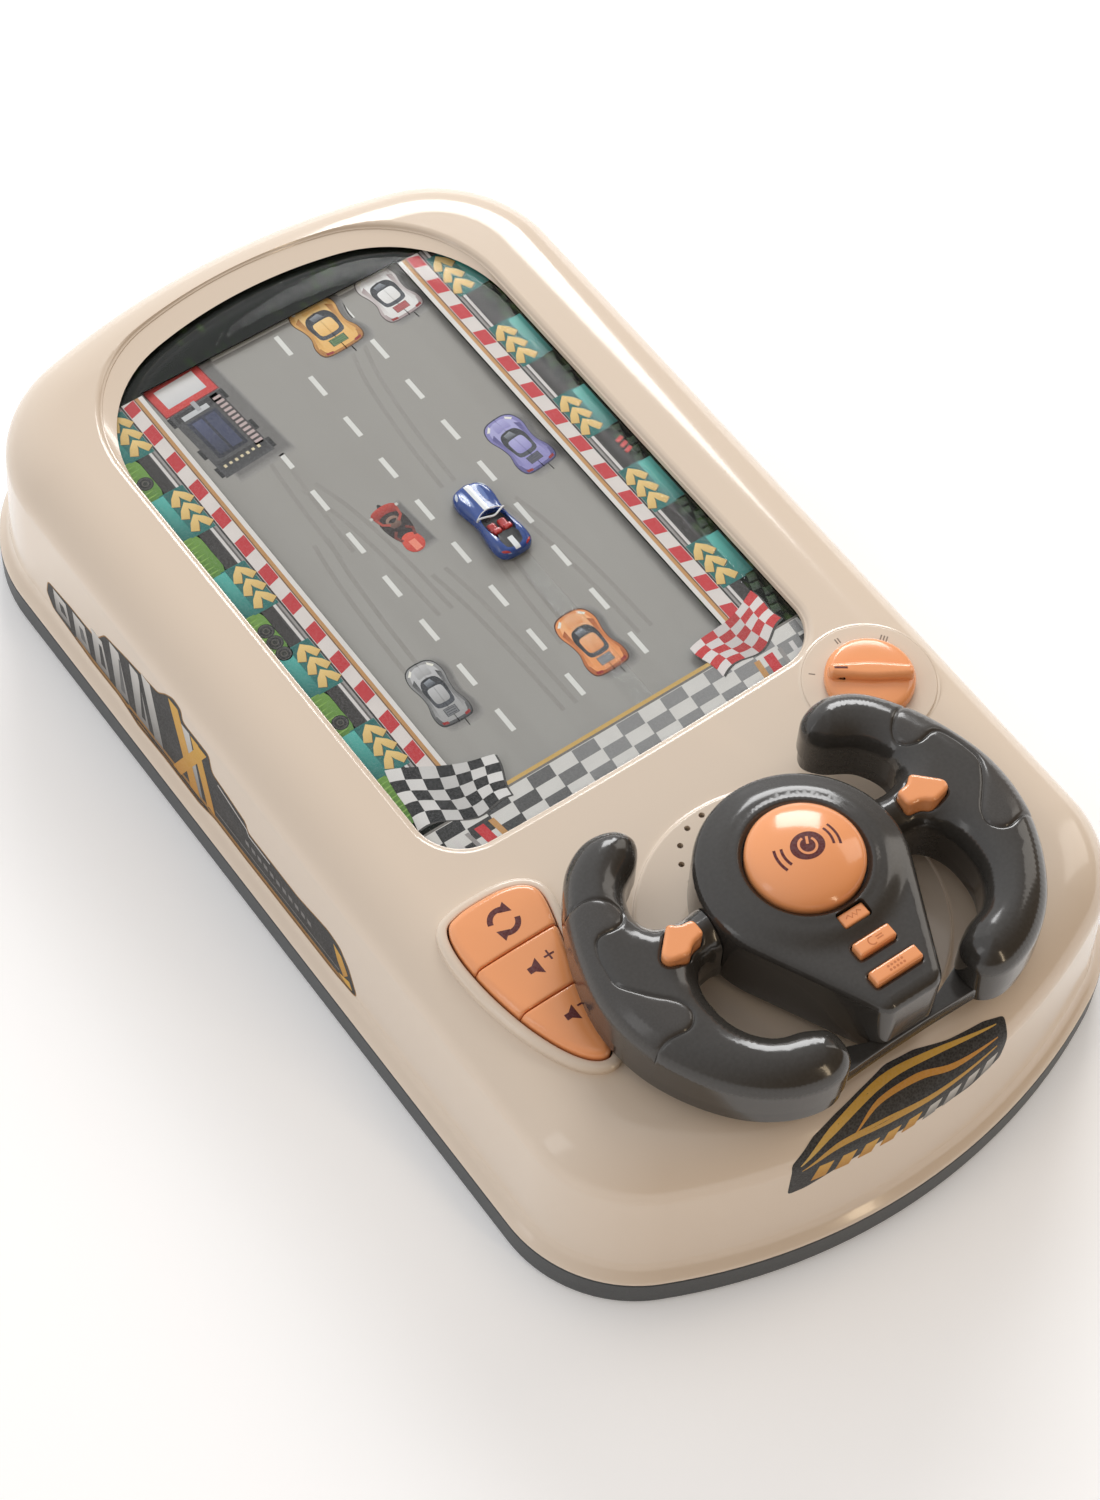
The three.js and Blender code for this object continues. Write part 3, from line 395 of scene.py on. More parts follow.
acetal = moulded("white_acetal", tint(233, 230, 220), 0.36, tint(214, 210, 198), 0.02, 1000, 0.00003)
dress(acetal, "roller_gear", "reduction_gear", "steering_gear", "rack_carriage")

board = Finish("circuit_board", {"Coat Weight": 0.3})
track = board.cells(420, (1, 0.35, 1), "DISTANCE_TO_EDGE") < 0.06
board.set(Base_Color=board.mix(track, board.mix(board.noise(40), tint(22, 92, 50), tint(30, 110, 62)), tint(96, 160, 90)),
          Roughness=0.32 + board.noise(180) * 0.2, Normal=board.bump(track, 0.00003))
dress(board, "hub_board", "pod_board", "main_board", "knob_switch")

roller_grey = moulded("roller_plastic", tint(70, 72, 74), 0.5, tint(52, 54, 56), 0.05, 700, 0.00008)
dress(roller_grey, "drive_roller", "idler_roller")

# ---------------------------------------------------------------- road belt
# A grey cloth-backed belt runs over a deck and two rollers. Its face is printed with lane marks
# and the traffic, in flat inks one over another; each ink here is its own very thin layer.

BELT_TOP = 60.6
LANE_X = 25.1
INK_STEP = 0.012
WHITE_PAINT, ROAD_SHADE = tint(226, 226, 222), tint(112, 110, 108)

asphalt = Finish("road_cloth", {"Specular IOR Level": 0.35})
streak, weave = asphalt.noise(60, 5, (1, 0.05, 1)), asphalt.noise(2400, 2)
tone = asphalt.mix(asphalt.noise(9, 3), tint(166, 165, 161), tint(154, 151, 146))
tone = asphalt.mix(asphalt.ramp(streak, [(0.5, (0, 0, 0)), (0.8, (0.28, 0.28, 0.28))]), tone, tint(128, 125, 120))
asphalt.set(Base_Color=asphalt.mix(weave * 0.08, tone, tint(60, 60, 60)), Roughness=0.5 + weave * 0.15,
            Normal=asphalt.bump(weave, 0.00003))
dress(asphalt, "road_belt")

# Printing ink takes its colour from the face it lies on, with a fine screen of dots in it.
ink = Finish("printing_ink", {"Specular IOR Level": 0.25})
printed = ink.node("ShaderNodeAttribute", {"attribute_name": "ink"}, out="Color")
dots, blotch = ink.cells(1400), ink.noise(130, 4)
inked = ink.mix(blotch * 0.28, printed, ink.mix(0.5, printed, (0.02, 0.02, 0.02)))
ink.set(Base_Color=ink.mix(dots * 0.06, inked, (0.9, 0.9, 0.9)), Roughness=0.36 + blotch * 0.2,
        Normal=ink.bump(dots, 0.00001))


def spline(points, steps=6, closed=True):
    """Smooth curve through a few points."""
    points = np.asarray(points, float)
    count = len(points)
    spans = range(count) if closed else range(count - 1)
    pick = (lambda i: points[i % count]) if closed else (lambda i: points[min(max(i, 0), count - 1)])
    curve = []
    for i in spans:
        a, b, c, d = (pick(i + k) for k in (-1, 0, 1, 2))
        for t in np.arange(steps) / steps:
            curve.append(0.5 * (2 * b + (c - a) * t + (2 * a - 5 * b + 4 * c - d) * t ** 2
                                + (3 * b - a - 3 * c + d) * t ** 3))
    return np.array(curve if closed else [*curve, points[-1]])


def stroke(points, width):
    """Outline of a line of some width through points."""
    points = np.asarray(points, float)
    along = np.gradient(points, axis=0)
    along /= np.linalg.norm(along, axis=1)[:, None]
    side = np.stack([-along[:, 1], along[:, 0]], 1) * width / 2
    return np.concatenate([points - side, (points + side)[::-1]])


def mirrored(points):
    """A half outline, drawn down the right side, closed by its mirror image."""
    points = np.asarray(points, float)
    return np.concatenate([points, (points * (-1, 1))[::-1]])


def set_at(points, x, y, turn=0, across=1, along=1):
    """Scales, turns and moves an outline."""
    points = np.asarray(points, float) * (across, along)
    c, s = math.cos(math.radians(turn)), math.sin(math.radians(turn))
    return points @ np.array([[c, s], [-s, c]]) + (x, y)


def ink_layers(name, patches, face, body, slot, wrap=None, sunk=0.05):
    """Flat inks on one face: each patch is (outline, colour, layer), or (outline, far, layer, near) for a blend."""
    parts, colours = [], []
    for outline, shade, layer, *near in patches:
        outline, top = np.asarray(outline, float), face + INK_STEP * (layer + 1)
        x, y = outline.T
        if (x * np.roll(y, -1) - y * np.roll(x, -1)).sum() < 0:
            outline = outline[::-1]
        if wrap:
            part = plate(outline, face - sunk, lambda p, top=top: np.full(len(p), top), rings=(0.6,), spacing=2)
        else:
            part = loft([(outline, face - sunk), (outline, top)])
        along = part[0][:, 1]
        rise = (along - along.min()) / max(1e-6, np.ptp(along))
        mixed = np.outer(rise, shade) + np.outer(1 - rise, near[0] if near else shade)
        colours += [(*mixed[i], 1) for loop in part[1] for i in loop]
        parts.append(part)
    verts, faces = joined(*parts)
    thing = fit(name, (wrap(verts) if wrap else verts, faces), ink, body, slot)
    layer = thing.data.color_attributes.new("ink", "FLOAT_COLOR", "CORNER")
    layer.data.foreach_set("color", np.array(colours, np.float32).ravel())
    return thing


def soft_shadow(outline, shift, layer=0, steps=5, reach=2.2, deep=ROAD_SHADE, ground=tint(160, 158, 154)):
    """Printed shadow: rings that darken inwards."""
    middle = np.mean(outline, axis=0)
    span = np.linalg.norm(outline - middle, axis=1).mean()
    rings = []
    for k in range(steps):
        grow = 1 + (reach * (1 - k / (steps - 1)) - reach * 0.3) / span
        part = (k + 1) / steps
        shade = tuple(g + (d - g) * part for g, d in zip(ground, deep))
        rings.append(((outline - middle) * grow + middle + shift, shade, layer + k * 0.2))
    return rings


lane_marks = []
for x in (-LANE_X, 0, LANE_X):
    for row in range(10):
        y = 143.7 - 20.06 * row + (-1.5 if x == 0 else 0)
        if y > -34:
            lane_marks.append((set_at(rect(-0.85, -4.6, 0.85, 4.6), x, y), WHITE_PAINT, 1.2))
for n, (x, y, bend) in enumerate(((-30, 95, 3), (-17, 60, -4), (8, 30, 3), (30, 20, -3), (12, 100, 4), (-38, 40, 2), (-6, 10, -2))):
    for m, gap in enumerate((-2.4, 2.4)):
        trail = spline([(x + gap, y - 34), (x + gap + bend * 0.3, y - 10), (x + gap + bend, y + 14), (x + gap + 2 * bend, y + 30)],
                       5, False)
        lane_marks.append((stroke(trail, 1.5), tint(149, 146, 141), 0.1 * n + 0.05 * m))
lane_marks.append((rect(-49.4, 149.6, 49.4, 151.2), tint(206, 205, 200), 1))
lane_marks.append((rect(-49.4, 148, 49.4, 149.6), tint(142, 140, 136), 0.95))
ink_layers("lane_marks", lane_marks, BELT_TOP, "casing", "printed_belt")

# Outlines of a sports car seen from above, as half outlines from nose to tail in half widths.
HULL = spline(mirrored([(0.02, 1), (0.5, 0.97), (0.84, 0.82), (0.97, 0.5), (0.84, 0.12), (0.82, -0.2), (0.98, -0.52),
                        (0.96, -0.82), (0.72, -0.97), (0.02, -1)]), 4)
GLASSHOUSE = spline(mirrored([(0.02, 0.52), (0.42, 0.46), (0.62, 0.22), (0.6, -0.12), (0.5, -0.42), (0.02, -0.48)]), 3)
ROOF = spline(mirrored([(0.02, 0.2), (0.38, 0.17), (0.44, -0.05), (0.38, -0.3), (0.02, -0.34)]), 3)
BONNET = spline(mirrored([(0.02, 0.93), (0.34, 0.9), (0.4, 0.66), (0.36, 0.56), (0.02, 0.6)]), 3)


def sports_car(x, y, turn, wide, long, paint, dark, light, deck):
    """Inks of one printed sports car: shadow, hull, flanks, glass, roof, lamps and engine cover."""
    def put(outline, shade, layer, *near):
        return (set_at(outline, x, y, turn, wide / 2, long / 2), shade, layer, *near)

    hull = set_at(HULL, x, y, turn, wide / 2, long / 2)
    art = soft_shadow(hull, (1.9, -1.2), 1)
    art += [put(HULL * 1.04, tuple(c * 0.25 for c in dark), 3), put(HULL, paint, 4, dark), put(HULL * (0.82, 0.92), light, 5, paint)]
    for side in (-1, 1):
        flank = np.array([(0.62, 0.62), (0.86, 0.5), (0.74, 0.1), (0.74, -0.24), (0.88, -0.6), (0.68, -0.7), (0.62, -0.2)])
        art.append(put(flank * (side, 1), dark, 5.5, paint))
        art.append(put(np.array([(0.5, 0.93), (0.78, 0.78), (0.66, 0.74), (0.46, 0.86)]) * (side, 1), tint(238, 236, 226), 6))
        art.append(put(np.array([(0.5, -0.88), (0.82, -0.84), (0.8, -0.93), (0.5, -0.96)]) * (side, 1), tint(150, 30, 30), 6))
        art.append(put(np.array([(0.5, 0.4), (0.62, 0.22), (0.6, -0.16), (0.5, -0.1), (0.5, 0.2)]) * (side, 1), tint(40, 42, 46), 8))
    art += [put(BONNET, light, 6, paint), put(GLASSHOUSE, tint(34, 36, 42), 7, tint(70, 74, 82)), put(ROOF, light, 8, paint),
            put(np.array([(-0.3, 0.42), (0.1, 0.46), (0.24, 0.26), (-0.26, 0.24)]), tint(150, 156, 164), 8, tint(70, 74, 82)),
            put(rect(-0.36, -0.78, 0.36, -0.52), tuple(c * 0.5 for c in deck), 7), put(rect(-0.3, -0.76, 0.3, -0.54), deck, 8)]
    for row in (-0.72, -0.65, -0.58):
        art.append(put(rect(-0.26, row - 0.012, 0.26, row + 0.012), tuple(c * 0.35 for c in deck), 9))
    return art


traffic = sports_car(15.8, 141.9, 3, 17, 23.5, tint(236, 184, 102), tint(172, 112, 44), tint(246, 208, 140), tint(104, 140, 92))
traffic += sports_car(40.4, 141.5, 5, 15, 22, tint(226, 224, 222), tint(168, 150, 150), tint(240, 240, 240), tint(196, 96, 96))
traffic += sports_car(39.9, 66.9, 6, 13.6, 23.6, tint(142, 138, 196), tint(84, 80, 138), tint(178, 176, 222), tint(92, 94, 110))
traffic += sports_car(13.2, -8, 1, 13.8, 24.4, tint(240, 156, 92), tint(170, 84, 34), tint(248, 186, 132), tint(150, 154, 158))
traffic += sports_car(-36.3, 3, -2, 12, 24, tint(158, 158, 158), tint(70, 70, 72), tint(196, 196, 198), tint(120, 122, 126))


def lorry(x, y, turn):
    """Inks of a recovery lorry: red framed bed, winch deck, blue load and a ladder down its side."""
    def put(outline, shade, layer, *near):
        return (set_at(outline, x, y, turn), shade, layer, *near)

    art = soft_shadow(set_at(rect(-9.5, -22, 11, 21), x, y, turn), (3.4, -2.2), 1, reach=3)
    art += [put(rect(-9.6, -22, 9.4, 10), tint(74, 74, 76), 3), put(rect(-10.6, 8.6, 10.4, 22.6), tint(126, 30, 32), 4),
            put(rect(-10.2, 9, 10, 22.2), tint(206, 62, 58), 5), put(rect(-7.6, 11.4, 7.4, 19.8), tint(232, 230, 228), 6, tint(206, 206, 208)),
            put(rect(-8.4, 4.6, 8.4, 7.8), tint(44, 44, 46), 5), put(rect(-6.6, 4.2, 3.4, 6.2), tint(198, 200, 202), 6),
            put(rect(-0.8, 5, 0.8, 9.4), tint(168, 170, 172), 6.5), put(rect(-6.8, -14.6, 4.6, 3), tint(44, 48, 66), 5, tint(30, 32, 44)),
            put(rect(-5.4, -13.2, -1.6, 2), tint(74, 80, 112), 6, tint(46, 50, 70)), put(rect(-0.6, -13.2, 3.4, 2), tint(58, 64, 92), 6),
            put(rect(5.6, -17.4, 9.2, 7.8), tint(62, 56, 56), 5), put(rect(-8.8, -21, 8.6, -16), tint(36, 36, 38), 5, tint(70, 70, 72))]
    for rung in range(12):
        art.append(put(rect(6, -16.6 + 2 * rung, 8.8, -15.5 + 2 * rung), tint(190, 170, 168), 6))
    for lamp in range(7):
        art.append(put(rect(-7.6 + 2.2 * lamp, -18.6 + 0.2 * (lamp % 2), -6.6 + 2.2 * lamp, -17.4), tint(222, 208, 170), 6))
    for side in (-1, 1):
        for axle in (-19, -10, 6):
            art.append(put(rect(side * 9.9 - 0.9, axle - 2.2, side * 9.9 + 0.9, axle + 2.2), tint(24, 24, 26), 2.9))
    return art


def motorcycle(x, y, turn):
    """Inks of a red motorcycle and its rider in black leathers."""
    def put(outline, shade, layer, *near):
        return (set_at(outline, x, y, turn), shade, layer, *near)

    art = soft_shadow(set_at(rect(-3.4, -9, 4, 9), x, y, turn), (2.4, -1.4), 1)
    art += [put(spline([(0, 11), (1.1, 9), (1, 6), (-1, 6), (-1.1, 9)], 3), tint(26, 24, 24), 3),
            put(spline([(-4.6, 8.4), (-2, 9.6), (2, 9.6), (4.6, 8.2), (3.6, 5.4), (-3.6, 5.6)], 3), tint(196, 66, 52), 4, tint(120, 30, 26)),
            put(spline([(-4, 5), (0, 6.4), (4, 4.6), (4.4, 0), (3, -5), (0, -6.4), (-3, -5), (-4.4, 0)], 3), tint(52, 38, 36), 5, tint(26, 20, 20)),
            put(spline([(-2.2, 3.8), (0, 5), (2.2, 3.8), (1.8, 0.8), (0, 0), (-1.8, 0.8)], 3), tint(156, 128, 112), 6, tint(88, 60, 52)),
            put(spline([(-1.5, 3.2), (0, 3.8), (1.5, 3.2), (0, 2.2)], 3), tint(34, 28, 28), 7),
            put(spline([(-2.6, -4.6), (0, -3.4), (2.6, -4.6), (3.4, -8.4), (1.6, -11), (-1.6, -11), (-3.4, -8.4)], 3), tint(226, 88, 68), 6, tint(196, 56, 44)),
            put(rect(-1.2, -10.6, 1.2, -6.4), tint(240, 140, 116), 7)]
    for side in (-1, 1):
        art.append(put(stroke([(side * 1.6, 2), (side * 3.6, 3.6), (side * 4.2, 6.6)], 0.9), tint(176, 74, 60), 6.5))
        art.append(put(stroke([(side * 1.8, -1), (side * 3.4, -2.8), (side * 2.4, -5.4)], 1), tint(120, 56, 48), 6.5))
        art.append(put(rect(side * 5 - 0.5, 7, side * 5 + 0.5, 8), tint(206, 204, 200), 5))
    return art


traffic += lorry(-36.4, 130, 4) + motorcycle(-10.6, 61, 4)
ink_layers("printed_traffic", traffic, BELT_TOP, "casing", "printed_belt")

# ---------------------------------------------------------------- scenery card
# One stiff card lies round the road: dark forest, kerbs, barriers, boards with chevrons and the
# chequered strip. It is offset printed and varnished, and held under the lens by the casing.

WINDOW = {"half": 72.2, "near": -53.5, "far": 175.8, "near_arc": 2000, "near_corner": 17, "far_arc": 150, "far_corner": 48}
CARD_TOP = 62.6
CARD_HOLE = rect(-49.5, -35.9, 49.5, 150.1)

forest = Finish("forest_print", {"Specular IOR Level": 0.12})
leaf, clump = forest.cells(330, (1, 0.6, 1)), forest.noise(55, 5)
lit = forest.ramp(clump, [(0.46, (0, 0, 0)), (0.66, (1, 1, 1))]) * forest.ramp(leaf, [(0.0, (1, 1, 1)), (0.55, (0, 0, 0))])
foliage = forest.mix(lit, tint(14, 18, 12), forest.mix(forest.noise(30), tint(30, 78, 34), tint(86, 104, 40)))
forest.set(Base_Color=foliage, Roughness=0.35 + clump * 0.2, Normal=forest.bump(leaf, 0.00001))
card_rings = [(bowed(WINDOW, -1.4), 62.0), (bowed(WINDOW, -1.4), CARD_TOP)]
card = carve(loft(card_rings), ("DIFFERENCE", prism(CARD_HOLE, 61, 64)))
fit("scenery_card", card, forest, "casing", "printed_card", "scenery_card")

KERB_PITCH, BOARD_PITCH, BOARD_LONG = 13.2, 35.5, 18.4
EDGE_FAR, EDGE_NEAR = 149, -36
PALE, OCHRE, KERB_RED = tint(224, 220, 216), tint(196, 146, 88), tint(200, 44, 52)
TEAL, TEAL_DEEP, CHEVRON = tint(84, 184, 174), tint(24, 110, 104), tint(238, 206, 134)


def verge(side, board_at, light):
    """Inks of one side of the card, from the road outwards; side is -1 on the left. light scales this side's ochre and
    kerb red; below 1 it paints them darker as painted shade.
    """
    def strip(inner, outer, shade, layer, near=EDGE_NEAR, far=EDGE_FAR, *second):
        return (rect(*sorted((side * inner, side * outer)), near, far)[[0, 1, 2, 3]], shade, layer, *second)

    def bar(inner, outer, near, far, shade, layer, *second):
        left, right = sorted((side * inner, side * outer))
        return (rect(left, near, right, far), shade, layer, *second)

    # Painted shade: light darkens this side's ochre here and its kerb red below.
    ochre = tuple(c * light for c in OCHRE)
    art = [bar(49.6, 51.2, EDGE_NEAR, EDGE_FAR, PALE, 1), bar(51.2, 52.4, EDGE_NEAR, EDGE_FAR, ochre, 1),
           bar(52.4, 52.8, EDGE_NEAR, EDGE_FAR, tint(110, 78, 52), 1), bar(52.8, 57.4, EDGE_NEAR, EDGE_FAR, tint(222, 214, 210), 1),
           bar(57.4, 58.0, EDGE_NEAR, EDGE_FAR, tint(40, 38, 36), 2), bar(58.0, 58.8, EDGE_NEAR, EDGE_FAR, tint(150, 146, 144), 2),
           bar(58.8, 59.4, EDGE_NEAR, EDGE_FAR, tint(92, 88, 86), 2), bar(59.4, 60.4, EDGE_NEAR, EDGE_FAR, tint(214, 210, 208), 2),
           bar(60.4, 60.9, EDGE_NEAR, EDGE_FAR, tint(60, 58, 56), 2), bar(60.9, 64.6, EDGE_NEAR, EDGE_FAR, tint(44, 40, 38), 1)]
    for block in range(15):
        y = 150.6 - KERB_PITCH * block
        near, far = max(y - KERB_PITCH / 2, EDGE_NEAR), min(y, EDGE_FAR)
        if far - near > 1:
            inner, outer = (53, 57.2) if side > 0 else (53, 57.2)
            skew = 1.2
            art.append(([(side * inner, near), (side * outer, near - skew), (side * outer, far - skew), (side * inner, far)],
                        tuple(c * light for c in KERB_RED), 3))
    for k in range(7):
        y = board_at - BOARD_PITCH * k
        if y < -30:
            continue
        half = BOARD_LONG / 2
        art += [bar(58.2, 67, y - half - 0.5, y + half + 0.5, TEAL_DEEP, 4), bar(65.6, 70.4, y - half, y + half, TEAL, 5, TEAL_DEEP),
                bar(58.6, 65.4, y - half, y + half, tint(20, 98, 94), 5, TEAL_DEEP)]
        for n in (-1, 0, 1):
            middle, tip = side * 61.6, y + 5.6 * n + 2.2
            outline = stroke([(middle - 3, tip - 4.6), (middle - 1.5, tip - 1.9), (middle, tip), (middle + 1.5, tip - 1.9), (middle + 3, tip - 4.6)], 2.7)
            art.append((outline + (0.12, -0.24), tint(90, 70, 40), 6))
            art.append((outline, CHEVRON, 7, tint(214, 178, 104)))
        gap = y - BOARD_PITCH / 2
        if side < 0:
            art.append((spline([(-72.6, gap - 8.6), (-65.4, gap - 8.2), (-64.8, gap), (-65.6, gap + 8.4), (-72.6, gap + 8.6)], 3),
                        tint(112, 158, 62), 3, tint(84, 132, 46)))
            for tuft in range(9):
                y_tuft = gap - 7.6 + 1.9 * tuft
                art.append(([(-71.8, y_tuft), (-66 - 0.7 * (tuft % 3), y_tuft + 0.9), (-71.8, y_tuft + 1)], tint(140, 184, 84), 3.5))
        else:
            for bush in range(5):
                x_bush, y_bush = 67 + 1.2 * (bush % 3), gap - 7 + 3.4 * bush
                leafy = ring_of(x_bush, y_bush, 1.7, 9) + 0.5 * np.sin(np.arange(18)).reshape(9, 2)
                art.append((leafy, tint(40, 74, 30), 3, tint(20, 36, 18)))
    return art


def tyre_stack(x, y, count):
    """Inks of a row of tyres stacked behind the barrier."""
    art = []
    for n in range(count):
        at = y + 5 * n
        for r, shade, layer in ((2.7, tint(20, 20, 20), 5), (2.35, tint(70, 68, 66), 6), (1.9, tint(26, 26, 26), 7),
                                (1.2, tint(84, 80, 74), 8), (0.8, tint(30, 34, 26), 9)):
            art.append((ring_of(x, at, r, 18), shade, layer + 0.3 * n))
    return art


# The left verge is drawn with light 0.92, so its ochre and kerb red carry painted shade that the right verge lacks.
left_verge = verge(-1, 137.6, 0.92) + tyre_stack(-67.6, 118.5, 1) + tyre_stack(-67.4, 40, 3) + tyre_stack(-67.4, 9.5, 1)
right_verge = verge(1, 135.2, 1.0) + [(set_at(rect(-1.4, -0.7, 1.4, 0.7), 66.5, y, 20), tint(206, 60, 56), 5) for y in (44, 46.4, 48.8)]
ink_layers("verge_left", left_verge, CARD_TOP, "casing", "printed_card")
ink_layers("verge_right", right_verge, CARD_TOP, "casing", "printed_card")

# Start line below the road: an ochre line, then rows of grey checks that darken to the left.
start = [(rect(-49.6, -37.2, 49.6, -35.9), tint(208, 170, 96), 1), (rect(-71, -38, 71, -37.2), tint(120, 116, 110), 1),
         (rect(-70.5, -52.6, 70.5, -38), tint(216, 214, 210), 1)]
for near, far, shift in ((-42.8, -38.2, 0), (-47.4, -42.8, 8.3), (-52, -47.4, 0)):
    for n in range(-5, 5):
        x = n * 16.6 + shift
        dark = 40 + 100 * min(1, max(0, (x + 62) / 50))
        lean = 0.5
        left, right = max(-69, x), min(69, x + 8.3)
        if right - left > 2:
            start.append(([(left, near), (right, near), (right + lean, far), (left + lean, far)], tint(dark, dark, dark), 2))
for side in (-1, 1):
    for n, (shade, wide) in enumerate(((tint(60, 58, 56), 2.2), (tint(214, 210, 208), 1.6), (tint(150, 146, 144), 1.4), (KERB_RED, 3.4), (OCHRE, 2))):
        x = side * (66.5 - 4.4 * n)
        start.append(([(x - wide / 2, -52), (x + wide / 2, -52), (x + wide / 2 + side, -44), (x - wide / 2 + side, -44)], shade, 3))
ink_layers("start_line", start, CARD_TOP, "casing", "printed_card")


def waving_flag(corners, columns, rows, dark, light, layer):
    """Inks of a chequered flag that waves: a grid of checks bent by two ripples."""
    corners = np.array(corners, float)

    def at(u, v):
        low, high = corners[0] * (1 - u) + corners[1] * u, corners[3] * (1 - u) + corners[2] * u
        point = low * (1 - v) + high * v
        ripple = 1.3 * math.sin(2 * math.pi * (u * 1.15 + 0.1)) + 0.5 * math.sin(9 * u + 3 * v)
        return point + np.array([0.5 * math.sin(6 * v + 3 * u), ripple])

    def patch(u0, v0, u1, v1, over=0.0):
        grid = [at(u, v0 - over) for u in np.linspace(u0 - over, u1 + over, 4)]
        return np.array(grid + [at(u, v1 + over) for u in np.linspace(u1 + over, u0 - over, 4)])

    art = []
    for i in range(columns):
        for j in range(rows):
            shade = dark if (i + j) % 2 else light
            dim = 0.86 + 0.14 * math.sin(2 * math.pi * (i + 0.5) / columns * 1.15 + 1)
            art.append((patch(i / columns, j / rows, (i + 1) / columns, (j + 1) / rows), tuple(c * dim for c in shade), layer))
    edge = [at(u, 0) for u in np.linspace(0, 1, 12)] + [at(1, v) for v in np.linspace(0, 1, 8)]
    edge += [at(u, 1) for u in np.linspace(1, 0, 12)] + [at(0, v) for v in np.linspace(1, 0, 8)]
    return [(np.array(edge) + (0.5, -0.6), tint(70, 68, 66), layer - 1)] + art


flags = waving_flag([(-70, -36), (-40, -42), (-36, -27), (-66, -13)], 7, 5, tint(24, 24, 26), tint(226, 224, 222), 10)
flags += waving_flag([(38, -43.5), (66, -37), (64.5, -23), (36, -29.5)], 6, 5, tint(206, 52, 54), tint(232, 224, 222), 10)
ink_layers("printed_flags", flags, CARD_TOP, "casing", "printed_card")

# ---------------------------------------------------------------- player's car
# A small die-cast look open car: glossy dark blue hull with a white stripe, black cockpit, red
# seats and a white screen frame. It floats over the road on a clear strip from the carriage.

CAR_X, CAR_Y, CAR_LOW = 14, 45.5, 62.0
CAR_HALF, CAR_LONG = 7.3, 16.4


def ends_of(line):
    return line, np.roll(line, -1, axis=0)


def distance(points, line):
    """Distance from points to a closed line, in pieces that fit in memory."""
    a, b = ends_of(np.asarray(line, float))
    edge = b - a
    length = np.maximum((edge ** 2).sum(1), 1e-12)
    best = []
    for some in np.array_split(np.asarray(points, float), max(1, len(points) // 800)):
        away = some[:, None] - a
        part = np.clip((away * edge).sum(2) / length, 0, 1)
        best.append(np.linalg.norm(away - part[..., None] * edge, axis=2).min(1))
    return np.concatenate(best)


def inside(points, line):
    a, b = ends_of(np.asarray(line, float))
    x, y = np.asarray(points, float).T[:, :, None]
    crosses = (a[:, 1] > y) != (b[:, 1] > y)
    rise = np.where(np.abs(b[:, 1] - a[:, 1]) < 1e-12, 1e-12, b[:, 1] - a[:, 1])
    return (crosses & (x < a[:, 0] + (y - a[:, 1]) * (b[:, 0] - a[:, 0]) / rise)).sum(1) % 2 == 1


def inset(outline, distance_in):
    """Pulls an outline in by a distance, or pushes it out if negative."""
    outline = np.asarray(outline, float)
    x, y = outline.T
    if (x * np.roll(y, -1) - y * np.roll(x, -1)).sum() < 0:
        outline = outline[::-1]
    before = outline - np.roll(outline, 1, axis=0)
    after = np.roll(outline, -1, axis=0) - outline
    before /= np.maximum(np.linalg.norm(before, axis=1), 1e-9)[:, None]
    after /= np.maximum(np.linalg.norm(after, axis=1), 1e-9)[:, None]
    normal = np.stack([-before[:, 1] - after[:, 1], before[:, 0] + after[:, 0]], 1)
    normal /= np.maximum(np.linalg.norm(normal, axis=1), 1e-9)[:, None]
    lean = np.maximum(0.4, normal[:, 0] * -before[:, 1] + normal[:, 1] * before[:, 0])
    return outline + normal * (distance_in / lean)[:, None]


def softened(outline, r, steps=4):
    """Outline with its corners rounded off over a length r."""
    outline = np.asarray(outline, float)
    points = []
    for i, corner in enumerate(outline):
        back, on = outline[i - 1] - corner, outline[(i + 1) % len(outline)] - corner
        back *= min(r / np.linalg.norm(back), 0.48)
        on *= min(r / np.linalg.norm(on), 0.48)
        for t in np.linspace(0, 1, steps + 1):
            points.append(corner + back * (1 - t) ** 2 + on * t ** 2)
    return np.array(points)


def rounding(d, r):
    """Drop of a surface that rounds off towards an edge at distance d."""
    near = np.clip(r - d, 0, r)
    return r - np.sqrt(np.maximum(r * r - near * near, 0))


def dense(line, step):
    """Outline with its long straight runs divided."""
    line = np.asarray(line, float)
    points = []
    for a, b in zip(*ends_of(line)):
        parts = max(1, math.ceil(np.linalg.norm(b - a) / step))
        points += [a + (b - a) * k / parts for k in range(parts)]
    return np.array(points)


